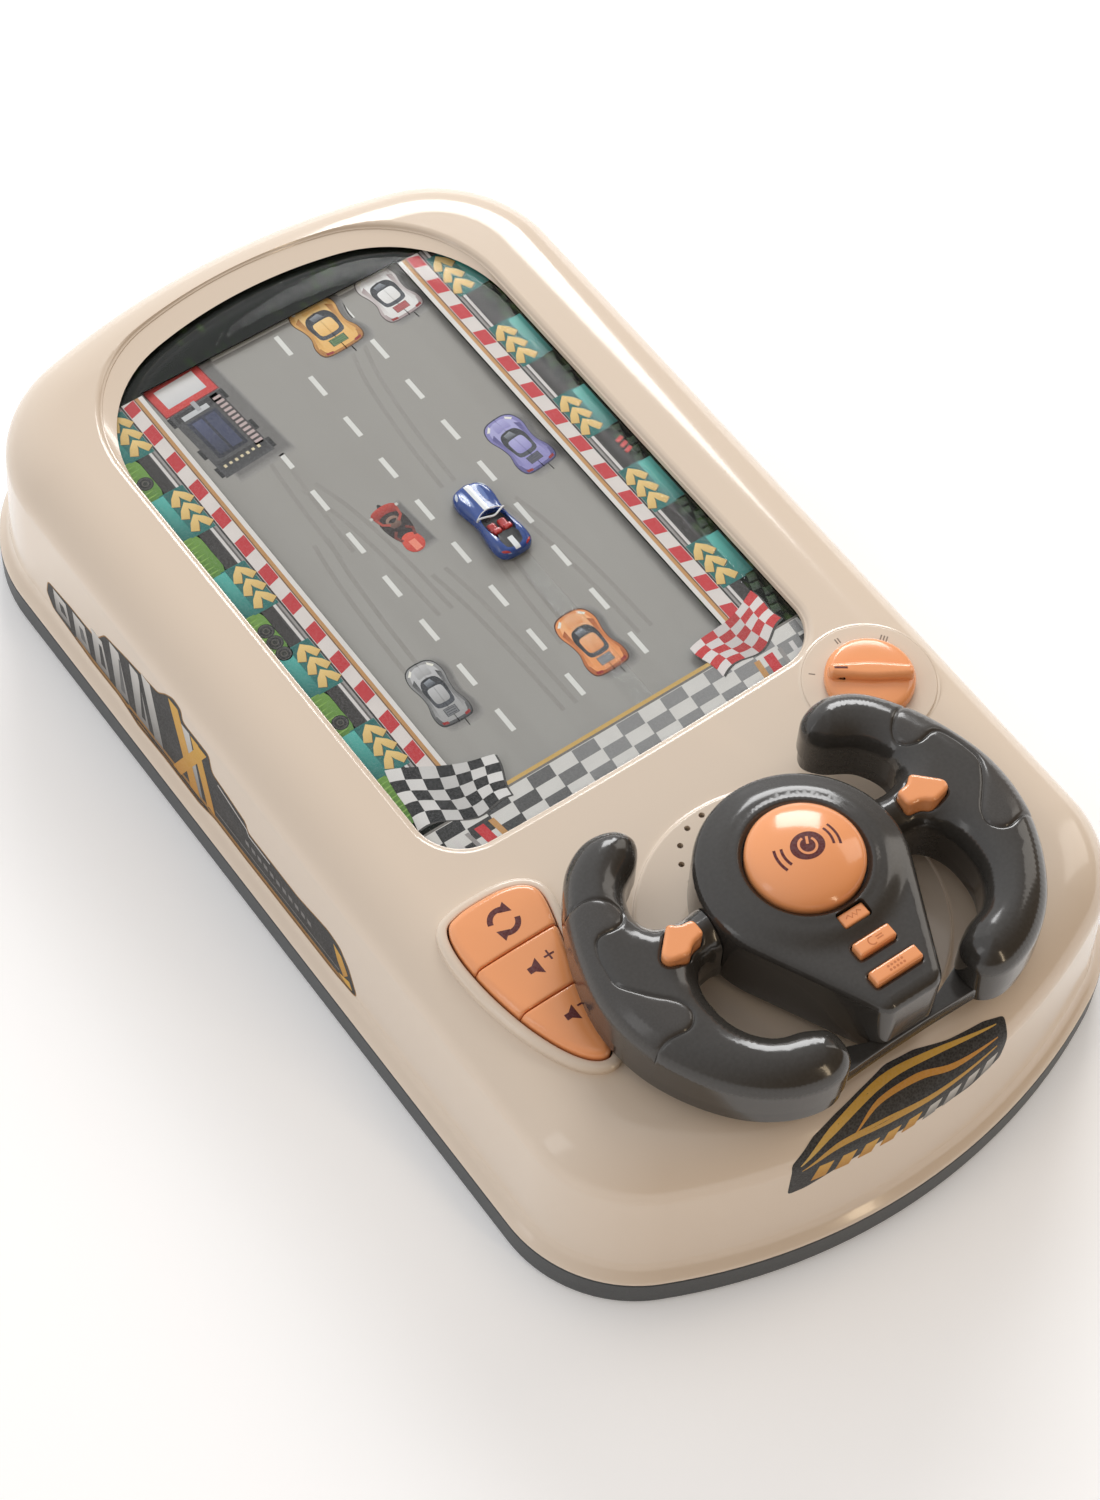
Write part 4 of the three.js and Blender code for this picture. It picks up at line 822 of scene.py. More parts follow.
def plate(outline, low, height, cuts=(), keep=None, rings=(0.12, 0.4, 0.9, 1.6), spacing=1.2, wrap=None):
    """Closed mesh whose top follows height(points) and whose walls drop to low.

    Cuts are lines that its edges must follow; keep(points) picks the regions that stay.
    """
    lines = [dense(line, spacing) for line in (outline, *cuts)]
    low_corner, high_corner = lines[0].min(0), lines[0].max(0)
    grid = np.stack(np.meshgrid(np.arange(low_corner[0], high_corner[0], spacing),
                                np.arange(low_corner[1], high_corner[1], spacing)), -1).reshape(-1, 2)
    grid[:, 0] += (np.round(grid[:, 1] / spacing) % 2) * spacing / 2
    clear = np.min([distance(grid, line) for line in lines], axis=0)
    cloud = [grid[inside(grid, lines[0]) & (clear > rings[-1] + 0.35 * spacing)]]
    for which, line in enumerate(lines):
        for step in rings:
            for side in ((1,) if which == 0 else (1, -1)):
                beside = inset(line, side * step)
                gap = np.min([distance(beside, other) for other in lines], axis=0)
                cloud.append(beside[(gap > step * 0.94) & inside(beside, lines[0])])
    edges, points = [], []
    for line in lines:
        start = len(points)
        edges += [(start + i, start + (i + 1) % len(line)) for i in range(len(line))]
        points += line.tolist()
    points += np.concatenate(cloud).tolist()
    spots, _, triangles, *_ = delaunay_2d_cdt([Vector(p) for p in points], edges, [], 0, 1e-5)
    spots, triangles = np.array([tuple(s) for s in spots]), np.array(triangles)
    middles = spots[triangles].mean(1)
    stays = inside(middles, lines[0])
    if keep is not None:
        stays &= keep(middles)
    triangles = triangles[stays]
    a, b, c = spots[triangles].transpose(1, 0, 2)
    turn = (b[:, 0] - a[:, 0]) * (c[:, 1] - a[:, 1]) - (b[:, 1] - a[:, 1]) * (c[:, 0] - a[:, 0])
    triangles = np.where((turn < 0)[:, None], triangles[:, ::-1], triangles)
    used, flat = np.unique(triangles, return_inverse=True)
    triangles, spots = flat.reshape(-1, 3), spots[used]
    count = len(spots)
    floor_z = low(spots) if callable(low) else np.full(count, float(low))
    verts = np.concatenate([np.column_stack([spots, height(spots)]), np.column_stack([spots, floor_z])])
    sides = {(t[i], t[(i + 1) % 3]) for t in triangles.tolist() for i in range(3)}
    faces = [tuple(t) for t in triangles.tolist()] + [tuple(i + count for i in t[::-1]) for t in triangles.tolist()]
    faces += [(j, i, i + count, j + count) for i, j in sides if (j, i) not in sides]
    return (wrap(verts) if wrap else verts), faces


clear_strip = Finish("clear_acrylic", {"Transmission Weight": 1.0, "IOR": 1.49})
clear_strip.set(Base_Color=clear_strip.mix(clear_strip.noise(30) * 0.1, (0.97, 0.98, 0.98), (0.9, 0.93, 0.94)),
                Roughness=0.03 + clear_strip.noise(120) * 0.05, Normal=clear_strip.bump(clear_strip.noise(400), 0.000005))
clear_strip.set(Alpha=clear_strip.node("ShaderNodeMapRange", {}, {"Value": clear_strip.noise(60), "To Min": 0.16, "To Max": 0.24}))
dress(clear_strip, "car_arm")


def car_paint(name, shade, deep):
    made = Finish(name, {"Coat Weight": 1.0, "Coat Roughness": 0.03})
    flake = made.noise(2600, 2)
    made.set(Base_Color=made.mix(flake * 0.4, shade, deep), Roughness=0.2 + made.noise(200) * 0.1,
             Normal=made.bump(made.noise(240), 0.000006))
    return made


blue, white_gloss = car_paint("car_blue", tint(26, 70, 150), tint(14, 40, 104)), car_paint("car_white", tint(236, 238, 240), tint(206, 210, 214))
red_seat, black_trim = car_paint("seat_red", tint(196, 44, 40), tint(140, 24, 24)), moulded("car_trim", tint(26, 26, 30), 0.4, tint(16, 16, 18), 0.03, 2000, 0.00001)

CAR_PLAN = spline(mirrored([(0.4, 15.4), (3.6, 14.9), (5.7, 13.2), (6.65, 10), (6.4, 6.4), (5.7, 2.4), (5.6, -1.6), (6.3, -6),
                            (6.6, -9.6), (6.1, -13), (4.2, -15), (0.4, -15.4)]), 3)
COCKPIT = spline(mirrored([(0.3, 2.2), (2.9, 1.5), (4.2, -0.4), (4.3, -4.4), (3.6, -8), (1.6, -9.2), (0.3, -9.3)]), 3)


def car_height(points):
    """Hull of the car: fenders over four wheels, a crowned bonnet and a falling tail."""
    x, y = (points - (CAR_X, CAR_Y)).T
    base = CAR_LOW + 3.3 - 0.055 * np.maximum(y, 0) - 0.03 * np.maximum(-y, 0)
    fender = sum(0.75 * np.exp(-((np.abs(x) - 4.7) / 1.5) ** 2 - ((y - at) / 3.4) ** 2) for at in (9, -9.2))
    bonnet = 0.45 * np.exp(-(x / 2.4) ** 2) * (y > 1.8)
    return base + fender + bonnet - rounding(distance(points, CAR_PLAN + (CAR_X, CAR_Y)), 1.9)


def car_skin(outline, lift, low=None, spacing=0.6):
    """A thin trim piece that follows the hull."""
    outline = np.asarray(outline, float) + (CAR_X, CAR_Y)
    return plate(outline, low or (lambda p: car_height(p) - 0.3), lambda p: car_height(p) + lift, spacing=spacing, rings=(0.15,))


hull = plate(CAR_PLAN + (CAR_X, CAR_Y), CAR_LOW, car_height, (COCKPIT + (CAR_X, CAR_Y),),
             lambda p: ~inside(p, COCKPIT + (CAR_X, CAR_Y)), (0.15, 0.45, 0.9), 0.6)
fit("car_hull", hull, blue, "car_carriage", "car_paint", "player_car")
fit("car_tub", plate(inset(COCKPIT, -0.1) + (CAR_X, CAR_Y), CAR_LOW, lambda p: np.full(len(p), CAR_LOW + 1.3)
                     + rounding(distance(p, COCKPIT + (CAR_X, CAR_Y)), 0.1), spacing=0.7, rings=(0.2,)), black_trim, "car_carriage", "car_paint")
stripes = joined(car_skin(mirrored([(0.9, 2.4), (1.05, 14.2)])[[0, 1, 2, 3]], 0.05), car_skin(rect(-0.95, -14.6, 0.95, -9.6), 0.05))
fit("car_stripe", stripes, white_gloss, "car_carriage", "car_paint")
flashes = joined(*[car_skin(spline([(side * 2.6, 13.2), (side * 3.6, 11.6), (side * 3.1, 6), (side * 2.3, 6.6), (side * 2.2, 11)], 3), 0.04)
                   for side in (-1, 1)])
fit("car_bonnet_vents", flashes, car_paint("car_vent", tint(104, 130, 190), tint(60, 84, 150)), "car_carriage", "car_paint")
seats = []
for side in (-1, 1):
    cushion = softened(rect(side * 1.95 - 1.45, -5.4, side * 1.95 + 1.45, -1.6) + (CAR_X, CAR_Y), 0.7)
    back = softened(rect(side * 1.95 - 1.45, -7, side * 1.95 + 1.45, -5) + (CAR_X, CAR_Y), 0.7)
    seats.append(plate(cushion, CAR_LOW + 1, lambda p, c=cushion: CAR_LOW + 2.3 - rounding(distance(p, c), 0.6), spacing=0.5, rings=(0.1, 0.35)))
    seats.append(plate(back, CAR_LOW + 1, lambda p, c=back: CAR_LOW + 3.9 - rounding(distance(p, c), 0.7), spacing=0.5, rings=(0.1, 0.35)))
fit("car_seats", joined(*seats), red_seat, "car_carriage", "car_paint")
tonneau = mirrored([(0.2, -6.9), (2.6, -6.8), (3.6, -9.4), (3, -12.6), (1.5, -13.4), (0.2, -13.4)])
fit("car_tonneau", car_skin(softened(tonneau, 0.6), 0.03), black_trim, "car_carriage", "car_paint")


def tube(path, r, sides=8, closed=False):
    """Round bar along a path, with closed ends."""
    path = np.asarray(path, float)
    along = np.roll(path, -1, 0) - np.roll(path, 1, 0) if closed else np.gradient(path, axis=0)
    along /= np.linalg.norm(along, axis=1)[:, None]
    side = np.cross(along, (0, 0, 1.0))
    side /= np.maximum(np.linalg.norm(side, axis=1), 1e-9)[:, None]
    up = np.cross(side, along)
    verts, faces, count = [], [], len(path)
    for p, s, u in zip(path, side, up):
        verts += [p + r * (math.cos(t) * s + math.sin(t) * u) for t in np.arange(sides) * 2 * math.pi / sides]
    for k in range(count if closed else count - 1):
        for i in range(sides):
            j = (i + 1) % sides
            n = (k + 1) % count
            faces.append((k * sides + i, k * sides + j, n * sides + j, n * sides + i))
    if not closed:
        faces += [tuple(range(sides))[::-1], tuple(range((count - 1) * sides, count * sides))]
    return np.array(verts), faces


screen = spline([(-5, 0.8, 2.6), (-4.6, 0.3, 4.3), (-2.6, -0.5, 4.75), (0, -1.4, 4.85), (2.6, -0.5, 4.75), (4.6, 0.3, 4.3), (5, 0.8, 2.6)], 4, False)
foot_bar = spline([(-4.8, 1, 3.2), (-2.6, 2, 3.75), (0, 2.4, 3.95), (2.6, 2, 3.75), (4.8, 1, 3.2)], 4, False)
fit("car_screen_frame", joined(tube(screen + (CAR_X, CAR_Y, CAR_LOW), 0.33), tube(foot_bar + (CAR_X, CAR_Y, CAR_LOW), 0.2)),
    white_gloss, "car_carriage", "car_paint")
fit("car_steering_wheel", tube([(CAR_X - 1.95 + 0.8 * math.cos(t), CAR_Y - 0.6 + 0.3 * math.sin(t), CAR_LOW + 3 + 0.7 * math.sin(t))
                                for t in np.linspace(0, 2 * math.pi, 14, endpoint=False)], 0.16, 6, True), black_trim, "car_carriage", "car_paint")
lamps = joined(*[car_skin(spline([(side * 4.1, 13.6), (side * 5.4, 12.4), (side * 5.8, 10.6), (side * 4.9, 11.4)], 3), 0.05) for side in (-1, 1)])
fit("car_headlamps", lamps, car_paint("lamp_glass", tint(206, 214, 224), tint(150, 160, 176)), "car_carriage", "car_paint")
tail_lamps = joined(*[car_skin(spline([(side * 3, -14.6), (side * 4.8, -13.9), (side * 5.4, -12.9), (side * 3.8, -13.7)], 3), 0.05) for side in (-1, 1)])
fit("car_tail_lamps", tail_lamps, red_seat, "car_carriage", "car_paint")

# ---------------------------------------------------------------- upper shell
# The cream casing is one glossy ABS moulding. A flared lip sits on the tray, the drafted wall
# rolls over a large soft shoulder, and a flat panel carries the window, wheel, knob and keys.

SHELL_FOOT, SHELL_TOP = 12.8, 66.8
SHOULDER = {"start": 52.8, "inset": 6, "width": 20}
WHEEL_Y = -124.7
DISC_R, KNOB_X, KNOB_Y, KNOB_R = 46.5, 71.5, -71.5, 14
SPEAKER_Y, SPEAKER_RING, SPEAKER_HOLES = -97.4, 16.4, 16
POD = spline([(-84.5, -71.5), (-86.6, -80), (-86.2, -94), (-83.6, -109), (-79.5, -121), (-75, -128), (-70.4, -130),
              (-67.4, -126), (-64.6, -114), (-59, -92), (-55.4, -77.6), (-57.4, -72), (-64, -69.2), (-73, -68.6), (-80, -69.2)], 6)

cream = moulded("cream_gloss", tint(222, 205, 186), 0.13, tint(217, 198, 176), 0.012, 700, 0.000012, 0.35)
lip = spline([(0.2, 0), (0.1, 0.5), (0.5, 1.3), (1.5, 2.5), (2.7, 3.8), (3.5, 5.2), (4, 7)], 3, False)
wall_profile = [(offset, SHELL_FOOT + rise) for offset, rise in lip]
wall_profile += [(4 + 2 * t, 19.7 + 33.1 * t) for t in np.linspace(0.12, 0.94, 8)]
for turn in np.radians(np.linspace(0, 90, 22)):
    wall_profile.append((SHOULDER["inset"] + SHOULDER["width"] * (1 - math.cos(turn)),
                         SHOULDER["start"] + (SHELL_TOP - SHOULDER["start"]) * math.sin(turn)))
hollow_profile = [(WALL, SHELL_FOOT - 1), (WALL + 0.2, 13.4), (WALL + 4, 19.7), (WALL + 6, 50), (WALL + 10, 60), (WALL + 20, 64.2)]
# The window's wall is nearly upright, but its far end slopes like a shelf and carries a fine bead.
WINDOW_LOW = dict(WINDOW, far=WINDOW["far"] - 11)
window_cut = [(WINDOW_LOW, 3, 60), (WINDOW_LOW, 1.9, 63.6), (WINDOW_LOW, 1.7, 63.8), (WINDOW, 1.35, 65.2), (WINDOW, 1.15, 65.5),
              (WINDOW, 0.75, 65.6), (WINDOW, 0.5, 65.8), (WINDOW, 0.3, 66.15), (WINDOW, -0.2, 66.45), (WINDOW, -0.8, 66.68),
              (WINDOW, -1.5, 66.82), (WINDOW, -1.5, 68)]
speaker = [ring_of(SPEAKER_RING * math.cos(t), SPEAKER_Y + SPEAKER_RING * math.sin(t), 0.95, 14)
           for t in 2 * math.pi * np.arange(SPEAKER_HOLES) / SPEAKER_HOLES]
bores = joined(*[prism(hole, 50, 80) for hole in (*speaker, ring_of(0, WHEEL_Y, 4.4), ring_of(KNOB_X, KNOB_Y, 4.8), inset(POD, -1.2))])
shell = carve(bowed_loft(BODY, wall_profile), ("DIFFERENCE", bowed_loft(BODY, hollow_profile)),
              ("DIFFERENCE", loft([(bowed(spec, offset), z) for spec, offset, z in window_cut])), ("DIFFERENCE", bores))
fit("cream_casing", shell, cream, "casing", "shell_plastic", "upper_shell", crease=38)


def turned(profile, x=0, y=0, sides=96):
    """Solid of revolution from (radius, height) pairs, from its lower centre round to its upper centre."""
    turns = 2 * math.pi * np.arange(sides) / sides
    verts, faces = [(x, y, profile[0][1])], []
    rings = profile[1:-1]
    for r, z in rings:
        verts += [(x + r * math.cos(t), y + r * math.sin(t), z) for t in turns]
    verts.append((x, y, profile[-1][1]))
    last = len(verts) - 1
    for i in range(sides):
        j = (i + 1) % sides
        faces.append((0, 1 + j, 1 + i))
        top = 1 + (len(rings) - 1) * sides
        faces.append((last, top + i, top + j))
        for k in range(len(rings) - 1):
            a, b = 1 + k * sides, 1 + (k + 1) * sides
            faces.append((a + i, a + j, b + j, b + i))
    return np.array(verts, float), faces


def raised_disc(x, y, r, rise, soft):
    """A low round step on the panel, with a filleted foot and a rounded edge."""
    foot = [(r + 0.9, SHELL_TOP - 0.4), (r + 0.9, SHELL_TOP + 0.01), (r + 0.35, SHELL_TOP + 0.1), (r + 0.08, SHELL_TOP + 0.32)]
    edge = [(r - soft * (1 - math.cos(t)), SHELL_TOP + rise - soft + soft * math.sin(t)) for t in np.linspace(0.2, math.pi / 2, 7)]
    return turned([(0, SHELL_TOP - 0.4), *foot, *edge, (0, SHELL_TOP + rise)], x, y)


disc = carve(raised_disc(0, WHEEL_Y, DISC_R, 1.5, 1.1), ("DIFFERENCE", bores))
collar = carve(turned([(0, 67), (15.6, 67), (15.6, 68.3), (14, 68.7), (13.2, 69.6), (13, 72), (12.4, 72.7), (0, 72.8)], 0, WHEEL_Y),
               ("DIFFERENCE", prism(ring_of(0, WHEEL_Y, 4.4), 50, 80)))
fit("wheel_disc", joined(disc, collar), cream, "casing", "shell_plastic", crease=38)
knob_pad = carve(raised_disc(KNOB_X, KNOB_Y, 20.8, 0.55, 0.45), ("DIFFERENCE", prism(ring_of(KNOB_X, KNOB_Y, 4.8), 50, 80)))
fit("knob_pad", knob_pad, cream, "casing", "shell_plastic", crease=38)
rim_out, rim_in = inset(POD, -3.6), inset(POD, -0.5)
key_rim = plate(rim_out, 60, lambda p: SHELL_TOP + 2.8 - rounding(distance(p, rim_out), 1.9) - rounding(distance(p, rim_in), 0.5),
                (rim_in,), lambda p: ~inside(p, rim_in), (0.1, 0.3, 0.6, 1.0, 1.5), 1.4)
fit("key_rim", key_rim, cream, "casing", "shell_plastic")

# ---------------------------------------------------------------- window lens
# A clear polystyrene dome is clipped up under the bevel and stands a little proud of the panel.

clear_lens = Finish("clear_styrene", {"Roughness": 0.03, "Base Color": (1, 1, 1, 1), "Coat Weight": 1.0, "Coat Roughness": 0.02})
facing = clear_lens.node("ShaderNodeLayerWeight", {}, {"Blend": 0.5}, out="Facing")
scratch = clear_lens.ramp(clear_lens.noise(160, 5, (1, 0.2, 1)), [(0.55, (0, 0, 0)), (0.85, (1, 1, 1))]) * 0.003
through = clear_lens.node("ShaderNodeBsdfTransparent", {}, {"Color": (0.985, 0.99, 0.99)})
clear_lens.set(Metallic=1.0 - clear_lens.noise(30) * 0.02)
sheen = facing * facing * facing * 0.12 + scratch * 0.3 + 0.0012
blend = clear_lens.node("ShaderNodeMixShader", {}, {0: sheen, 1: through, 2: Value(clear_lens, clear_lens.shader.outputs[0])})
clear_lens.feed(clear_lens.tree.nodes["Material Output"].inputs["Surface"], blend)

crown = [(2.4, 63.8), (2.7, 65.4), (3.4, 66.6), (4.7, 67.6), (6.6, 68.3), (9.2, 68.8), (12, 69.1), (14, 69.25)]
top_ring = bowed(WINDOW_LOW, 14)
WINDOW_MIDDLE = np.array([0, (WINDOW_LOW["near"] + WINDOW_LOW["far"]) / 2])


def dome(drop, extra):
    """Rings of the lens skin, shrunk towards its middle over a faint crown."""
    rings = [(bowed(WINDOW_LOW, offset + extra), z - drop) for offset, z in crown]
    for scale in (0.94, 0.85, 0.72, 0.55, 0.35, 0.15):
        rings.append(((inset(top_ring, 0) - WINDOW_MIDDLE) * scale + WINDOW_MIDDLE, 69.25 + 0.75 * (1 - scale ** 2) - drop))
    return rings


lens_mesh = carve(joined(loft([(bowed(WINDOW, -1.2), 62.95), (bowed(WINDOW, -1.2), 63.75)])), ("UNION", loft([(bowed(WINDOW_LOW, 2.4), 62.95), *dome(0, 0)])),
                  ("DIFFERENCE", loft([(bowed(WINDOW_LOW, 3.5), 62), *dome(1.0, 1.0)])))
fit("lens_dome", lens_mesh, clear_lens, "casing", "clear_plastic", "window_lens")

# ---------------------------------------------------------------- stickers
# Die-cut vinyl stickers lie on both side walls and on the near wall. Each is black with a thin
# white edge and carries plain racing stripes; the near one is shaped like a low car's roof line.

vinyl_black, vinyl_yellow = tint(22, 20, 19), tint(214, 164, 56)
VINYL_WHITE, VINYL_GREY = tint(206, 203, 198), tint(118, 116, 114)


def wall_offset(z):
    """How far the casing wall stands in from its foot at a height."""
    offsets, heights = np.array(wall_profile).T
    return np.interp(z, heights, offsets)


def side_wall(side):
    """Lays a flat drawing of (along, up) on a side wall."""
    def lay(points):
        along, up, lift = points.T
        return np.column_stack([side * (BODY["half"] - wall_offset(up) + lift), along, up])
    return lay


def banner(spine, widths):
    """Outline of a band of changing width along a spine."""
    spine, widths = np.asarray(spine, float), np.asarray(widths, float)
    along = np.gradient(spine, axis=0)
    along /= np.linalg.norm(along, axis=1)[:, None]
    normal = np.stack([-along[:, 1], along[:, 0]], 1) * widths[:, None] / 2
    return np.concatenate([spine - normal, (spine + normal)[::-1]])


SIDE_EDGE = softened([(124.5, 31.5), (111, 33.2), (95.5, 33.8), (90, 41.6), (77, 44.4), (58.9, 47.4), (55, 51.4), (50.5, 54.4),
                      (45.8, 53.8), (44.6, 48.6), (30.2, 48.4), (28, 41.2), (20.8, 40), (9.4, 37.6), (8, 34), (-19.6, 33.8),
                      (-35.2, 36.4), (-41.6, 35.2), (-46.8, 30), (-51.4, 21.4), (-51, 19.4), (-40, 18.6), (8, 18.4),
                      (26, 18.6), (34, 17.4), (54, 17.6), (70, 17.2), (82, 18.6), (98, 18.4), (121.5, 20), (125.5, 25)], 1.6, 3)


def side_sticker(name, side):
    """Black banner with slanted blocks, yellow slashes at its crest, and a long ruled tail."""
    edge = SIDE_EDGE
    art = [(edge, tint(150, 104, 34), 0), (inset(edge, 0.4), vinyl_black, 1)]
    for n, (far, low, high) in enumerate(((119.5, 21.6, 31), (107.4, 21, 32), (95.4, 21, 36), (83.6, 21, 41.4), (71.4, 20.6, 43.2))):
        lean, wide = 3.6 * (high - low) / 12, 8.8 - 0.3 * n
        art.append(([(far, low), (far - wide, low), (far - wide + lean, high), (far + lean * 0.6, high)], VINYL_WHITE, 3, VINYL_GREY))
        art.append(([(far - 3, low + 2.6), (far - wide + 2.2, low + 2.6), (far - wide + 3.4 + lean * 0.3, high - 3), (far - 1.8, high - 3)],
                    (vinyl_black, tint(92, 92, 92))[n % 2], 4))
    for far, low, high in ((60.6, 19.4, 46), (38, 19.6, 46.6)):
        lean = 0.3 * (high - low)
        art.append(([(far, low), (far - 5, low), (far - 5 + lean, high), (far + lean, high)], VINYL_WHITE, 3, VINYL_GREY))
    for far, low, high, wide, lean in ((40, 19.4, 51.6, 5.4, 13), (30.4, 20, 46.4, 4.4, 10), (50, 19.2, 46, 4.6, -14)):
        art.append(([(far, low), (far - wide, low), (far - wide + lean, high), (far + lean, high)], vinyl_yellow, 5 + (lean < 0), tint(190, 132, 38)))
    art += [(stroke([(26, 23.4), (2, 23), (-42, 23)], 0.45), VINYL_GREY, 3),
            (stroke([(25, 38.6), (9, 34.6), (7.6, 32.4), (-4, 32)], 0.6), VINYL_WHITE, 3),
            ([(-38.4, 33), (-42.6, 31.4), (-46.6, 25.6), (-44.6, 22.4), (-41, 27)], vinyl_yellow, 4, tint(184, 128, 34)),
            ([(-42, 21.4), (-46.6, 20.4), (-49.2, 20.6), (-47.4, 23.4)], vinyl_yellow, 4)]
    for n in range(11):
        art.append(([(9 - 3.4 * n, 26.6), (7 - 3.4 * n, 26.6), (7.6 - 3.4 * n, 28.4), (9.6 - 3.4 * n, 28.4)], VINYL_GREY, 3))
    return ink_layers(name, art, 0.04, "casing", "printed_card", side_wall(side), sunk=0.1)


side_sticker("side_sticker_left", -1)
side_sticker("side_sticker_right", 1)

profile_run = np.concatenate([[0], np.cumsum(np.linalg.norm(np.diff(wall_profile, axis=0), axis=1))])
NEAR_CENTRE = BODY["near"] + BODY["near_arc"]


def near_wall(points):
    """Lays a flat drawing of (across, up the wall) on the near wall and over its shoulder."""
    across, run, lift = points.T
    offsets, heights = np.array(wall_profile).T
    offset, z = np.interp(run, profile_run, offsets), np.interp(run, profile_run, heights)
    ahead = np.interp(run + 0.4, profile_run, offsets), np.interp(run + 0.4, profile_run, heights)
    slope = np.arctan2(ahead[1] - z, ahead[0] - offset)
    offset, z = offset - lift * np.sin(slope), z + lift * np.cos(slope)
    return np.column_stack([across, NEAR_CENTRE - np.sqrt((BODY["near_arc"] - offset) ** 2 - across ** 2), z])


def run_at(z):
    """Length up the wall profile to a height."""
    return float(np.interp(z, np.array(wall_profile)[:, 1], profile_run))


ROOF_EDGE = softened([(x, run_at(z)) for x, z in ((-45.4, 42), (-44.6, 57), (-36, 62), (-27.3, 63.9), (-17.1, 65.2), (-6.6, 66), (3, 65.8),
                                                  (13.6, 64.6), (26.5, 63.4), (33.6, 61.6), (32.4, 56.4), (30, 48.4), (17.7, 46.4),
                                                  (0, 48.8), (-16.3, 49.6), (-29.3, 46.8), (-40, 42.6))], 1.4, 3)


def swoosh(points, widths, shade, layer, near=None):
    path = spline([(x, run_at(z)) for x, z in points], 6, False)
    wide = np.interp(np.linspace(0, 1, len(path)), np.linspace(0, 1, len(widths)), widths)
    return (banner(path, wide), shade, layer, near or shade)


near_art = [(ROOF_EDGE, vinyl_black, 1),
            swoosh([(-42, 55.6), (-30, 61.6), (-10, 64.9), (8, 64.4), (30, 61.4)], (0.3, 2.4, 2.8, 2, 0.3), vinyl_yellow, 3, tint(206, 170, 90)),
            swoosh([(-24, 58.8), (-14, 62.6), (0, 62.8), (12, 60.4), (29, 58.6)], (0.3, 1.6, 2.2, 1.8, 0.3), tint(200, 140, 52), 3),
            swoosh([(-41.6, 53), (-30, 57.6), (-14, 57.8), (4, 56.6), (28, 56.4)], (0.3, 2, 2.6, 1.8, 0.4), tint(196, 150, 60), 3)]
for n in range(9):
    x = -38.5 + 7.5 * n
    low, high = (run_at(45.2 + 0.55 * min(n, 4)), run_at(52 + 0.2 * min(n, 5)))
    shade, fade = (vinyl_yellow, tint(184, 128, 34)) if n < 5 else (VINYL_WHITE, VINYL_GREY)
    near_art.append(([(x, low), (x + 4.6, low), (x + 7, high), (x + 2.4, high)], shade, 3, fade))
ink_layers("near_sticker", near_art, 0.04, "casing", "printed_card", near_wall, sunk=0.1)

# ---------------------------------------------------------------- key pad
# Three pale orange keys fill one leaf-shaped opening beside the wheel. They are glossy ABS with
# soft edges, and their symbols are pad printed in dark maroon.

orange = moulded("orange_gloss", tint(243, 164, 108), 0.14, tint(236, 146, 84), 0.015, 800, 0.00001, 0.4)
MAROON = tint(88, 8, 10)
KEY_LOW, KEY_TOP, KEY_SPLITS = 62.6, 72.4, (-87.8, -106.4)


def key_height(points):
    lines = np.min([np.abs(points[:, 1] - y) for y in KEY_SPLITS], axis=0) - 0.2
    edge = distance(points, POD)
    return KEY_TOP - rounding(edge, 2.2) - rounding(np.maximum(lines, 0), 0.7) + 0.5 * (1 - np.exp(-edge / 6)) - 0.35


split_lines = [rect(-92, y - 0.2, -50, y + 0.2) for y in KEY_SPLITS]
key_spans = ((KEY_SPLITS[0] + 0.2, -60), (KEY_SPLITS[1] + 0.2, KEY_SPLITS[0] - 0.2), (-140, KEY_SPLITS[1] - 0.2))
for number, (near, far) in enumerate(key_spans, 1):
    key = plate(POD, KEY_LOW, key_height, split_lines, lambda p, n=near, f=far: (p[:, 1] > n) & (p[:, 1] < f),
                (0.12, 0.35, 0.7, 1.2, 1.7, 2.2), 1.3)
    fit(f"key_{number}", key, orange, f"pod_button_{number}", "button_plastic", f"pod_button_{number}", crease=50)


def symbol(name, outlines, height, body, node_slot="button_plastic", lift=0.045):
    """Printed marks that follow the face they are on."""
    marks = [plate(o, lambda p: height(p) - 0.12, lambda p: height(p) + lift, rings=(0.2,), spacing=0.7) for o in outlines]
    verts, faces = joined(*marks)
    return ink_from(name, verts, faces, MAROON, body, node_slot)


def ink_from(name, verts, faces, shade, body, slot):
    thing = fit(name, (verts, faces), ink, body, slot, crease=60)
    layer = thing.data.color_attributes.new("ink", "FLOAT_COLOR", "CORNER")
    layer.data.foreach_set("color", np.tile((*shade, 1), len(thing.data.loops)).astype(np.float32))
    return thing


def arc_stroke(x, y, r, start, end, width, steps=14):
    return stroke(arc(x, y, r, start, end + (end - start) / steps, steps + 1), width)


def loudspeaker(x, y, size, turn):
    cone = [(-3, -1.1), (-1.2, -1.1), (1.2, -3), (1.2, 3), (-1.2, 1.1), (-3, 1.1)]
    return set_at(np.array(cone) * size, x, y, turn)


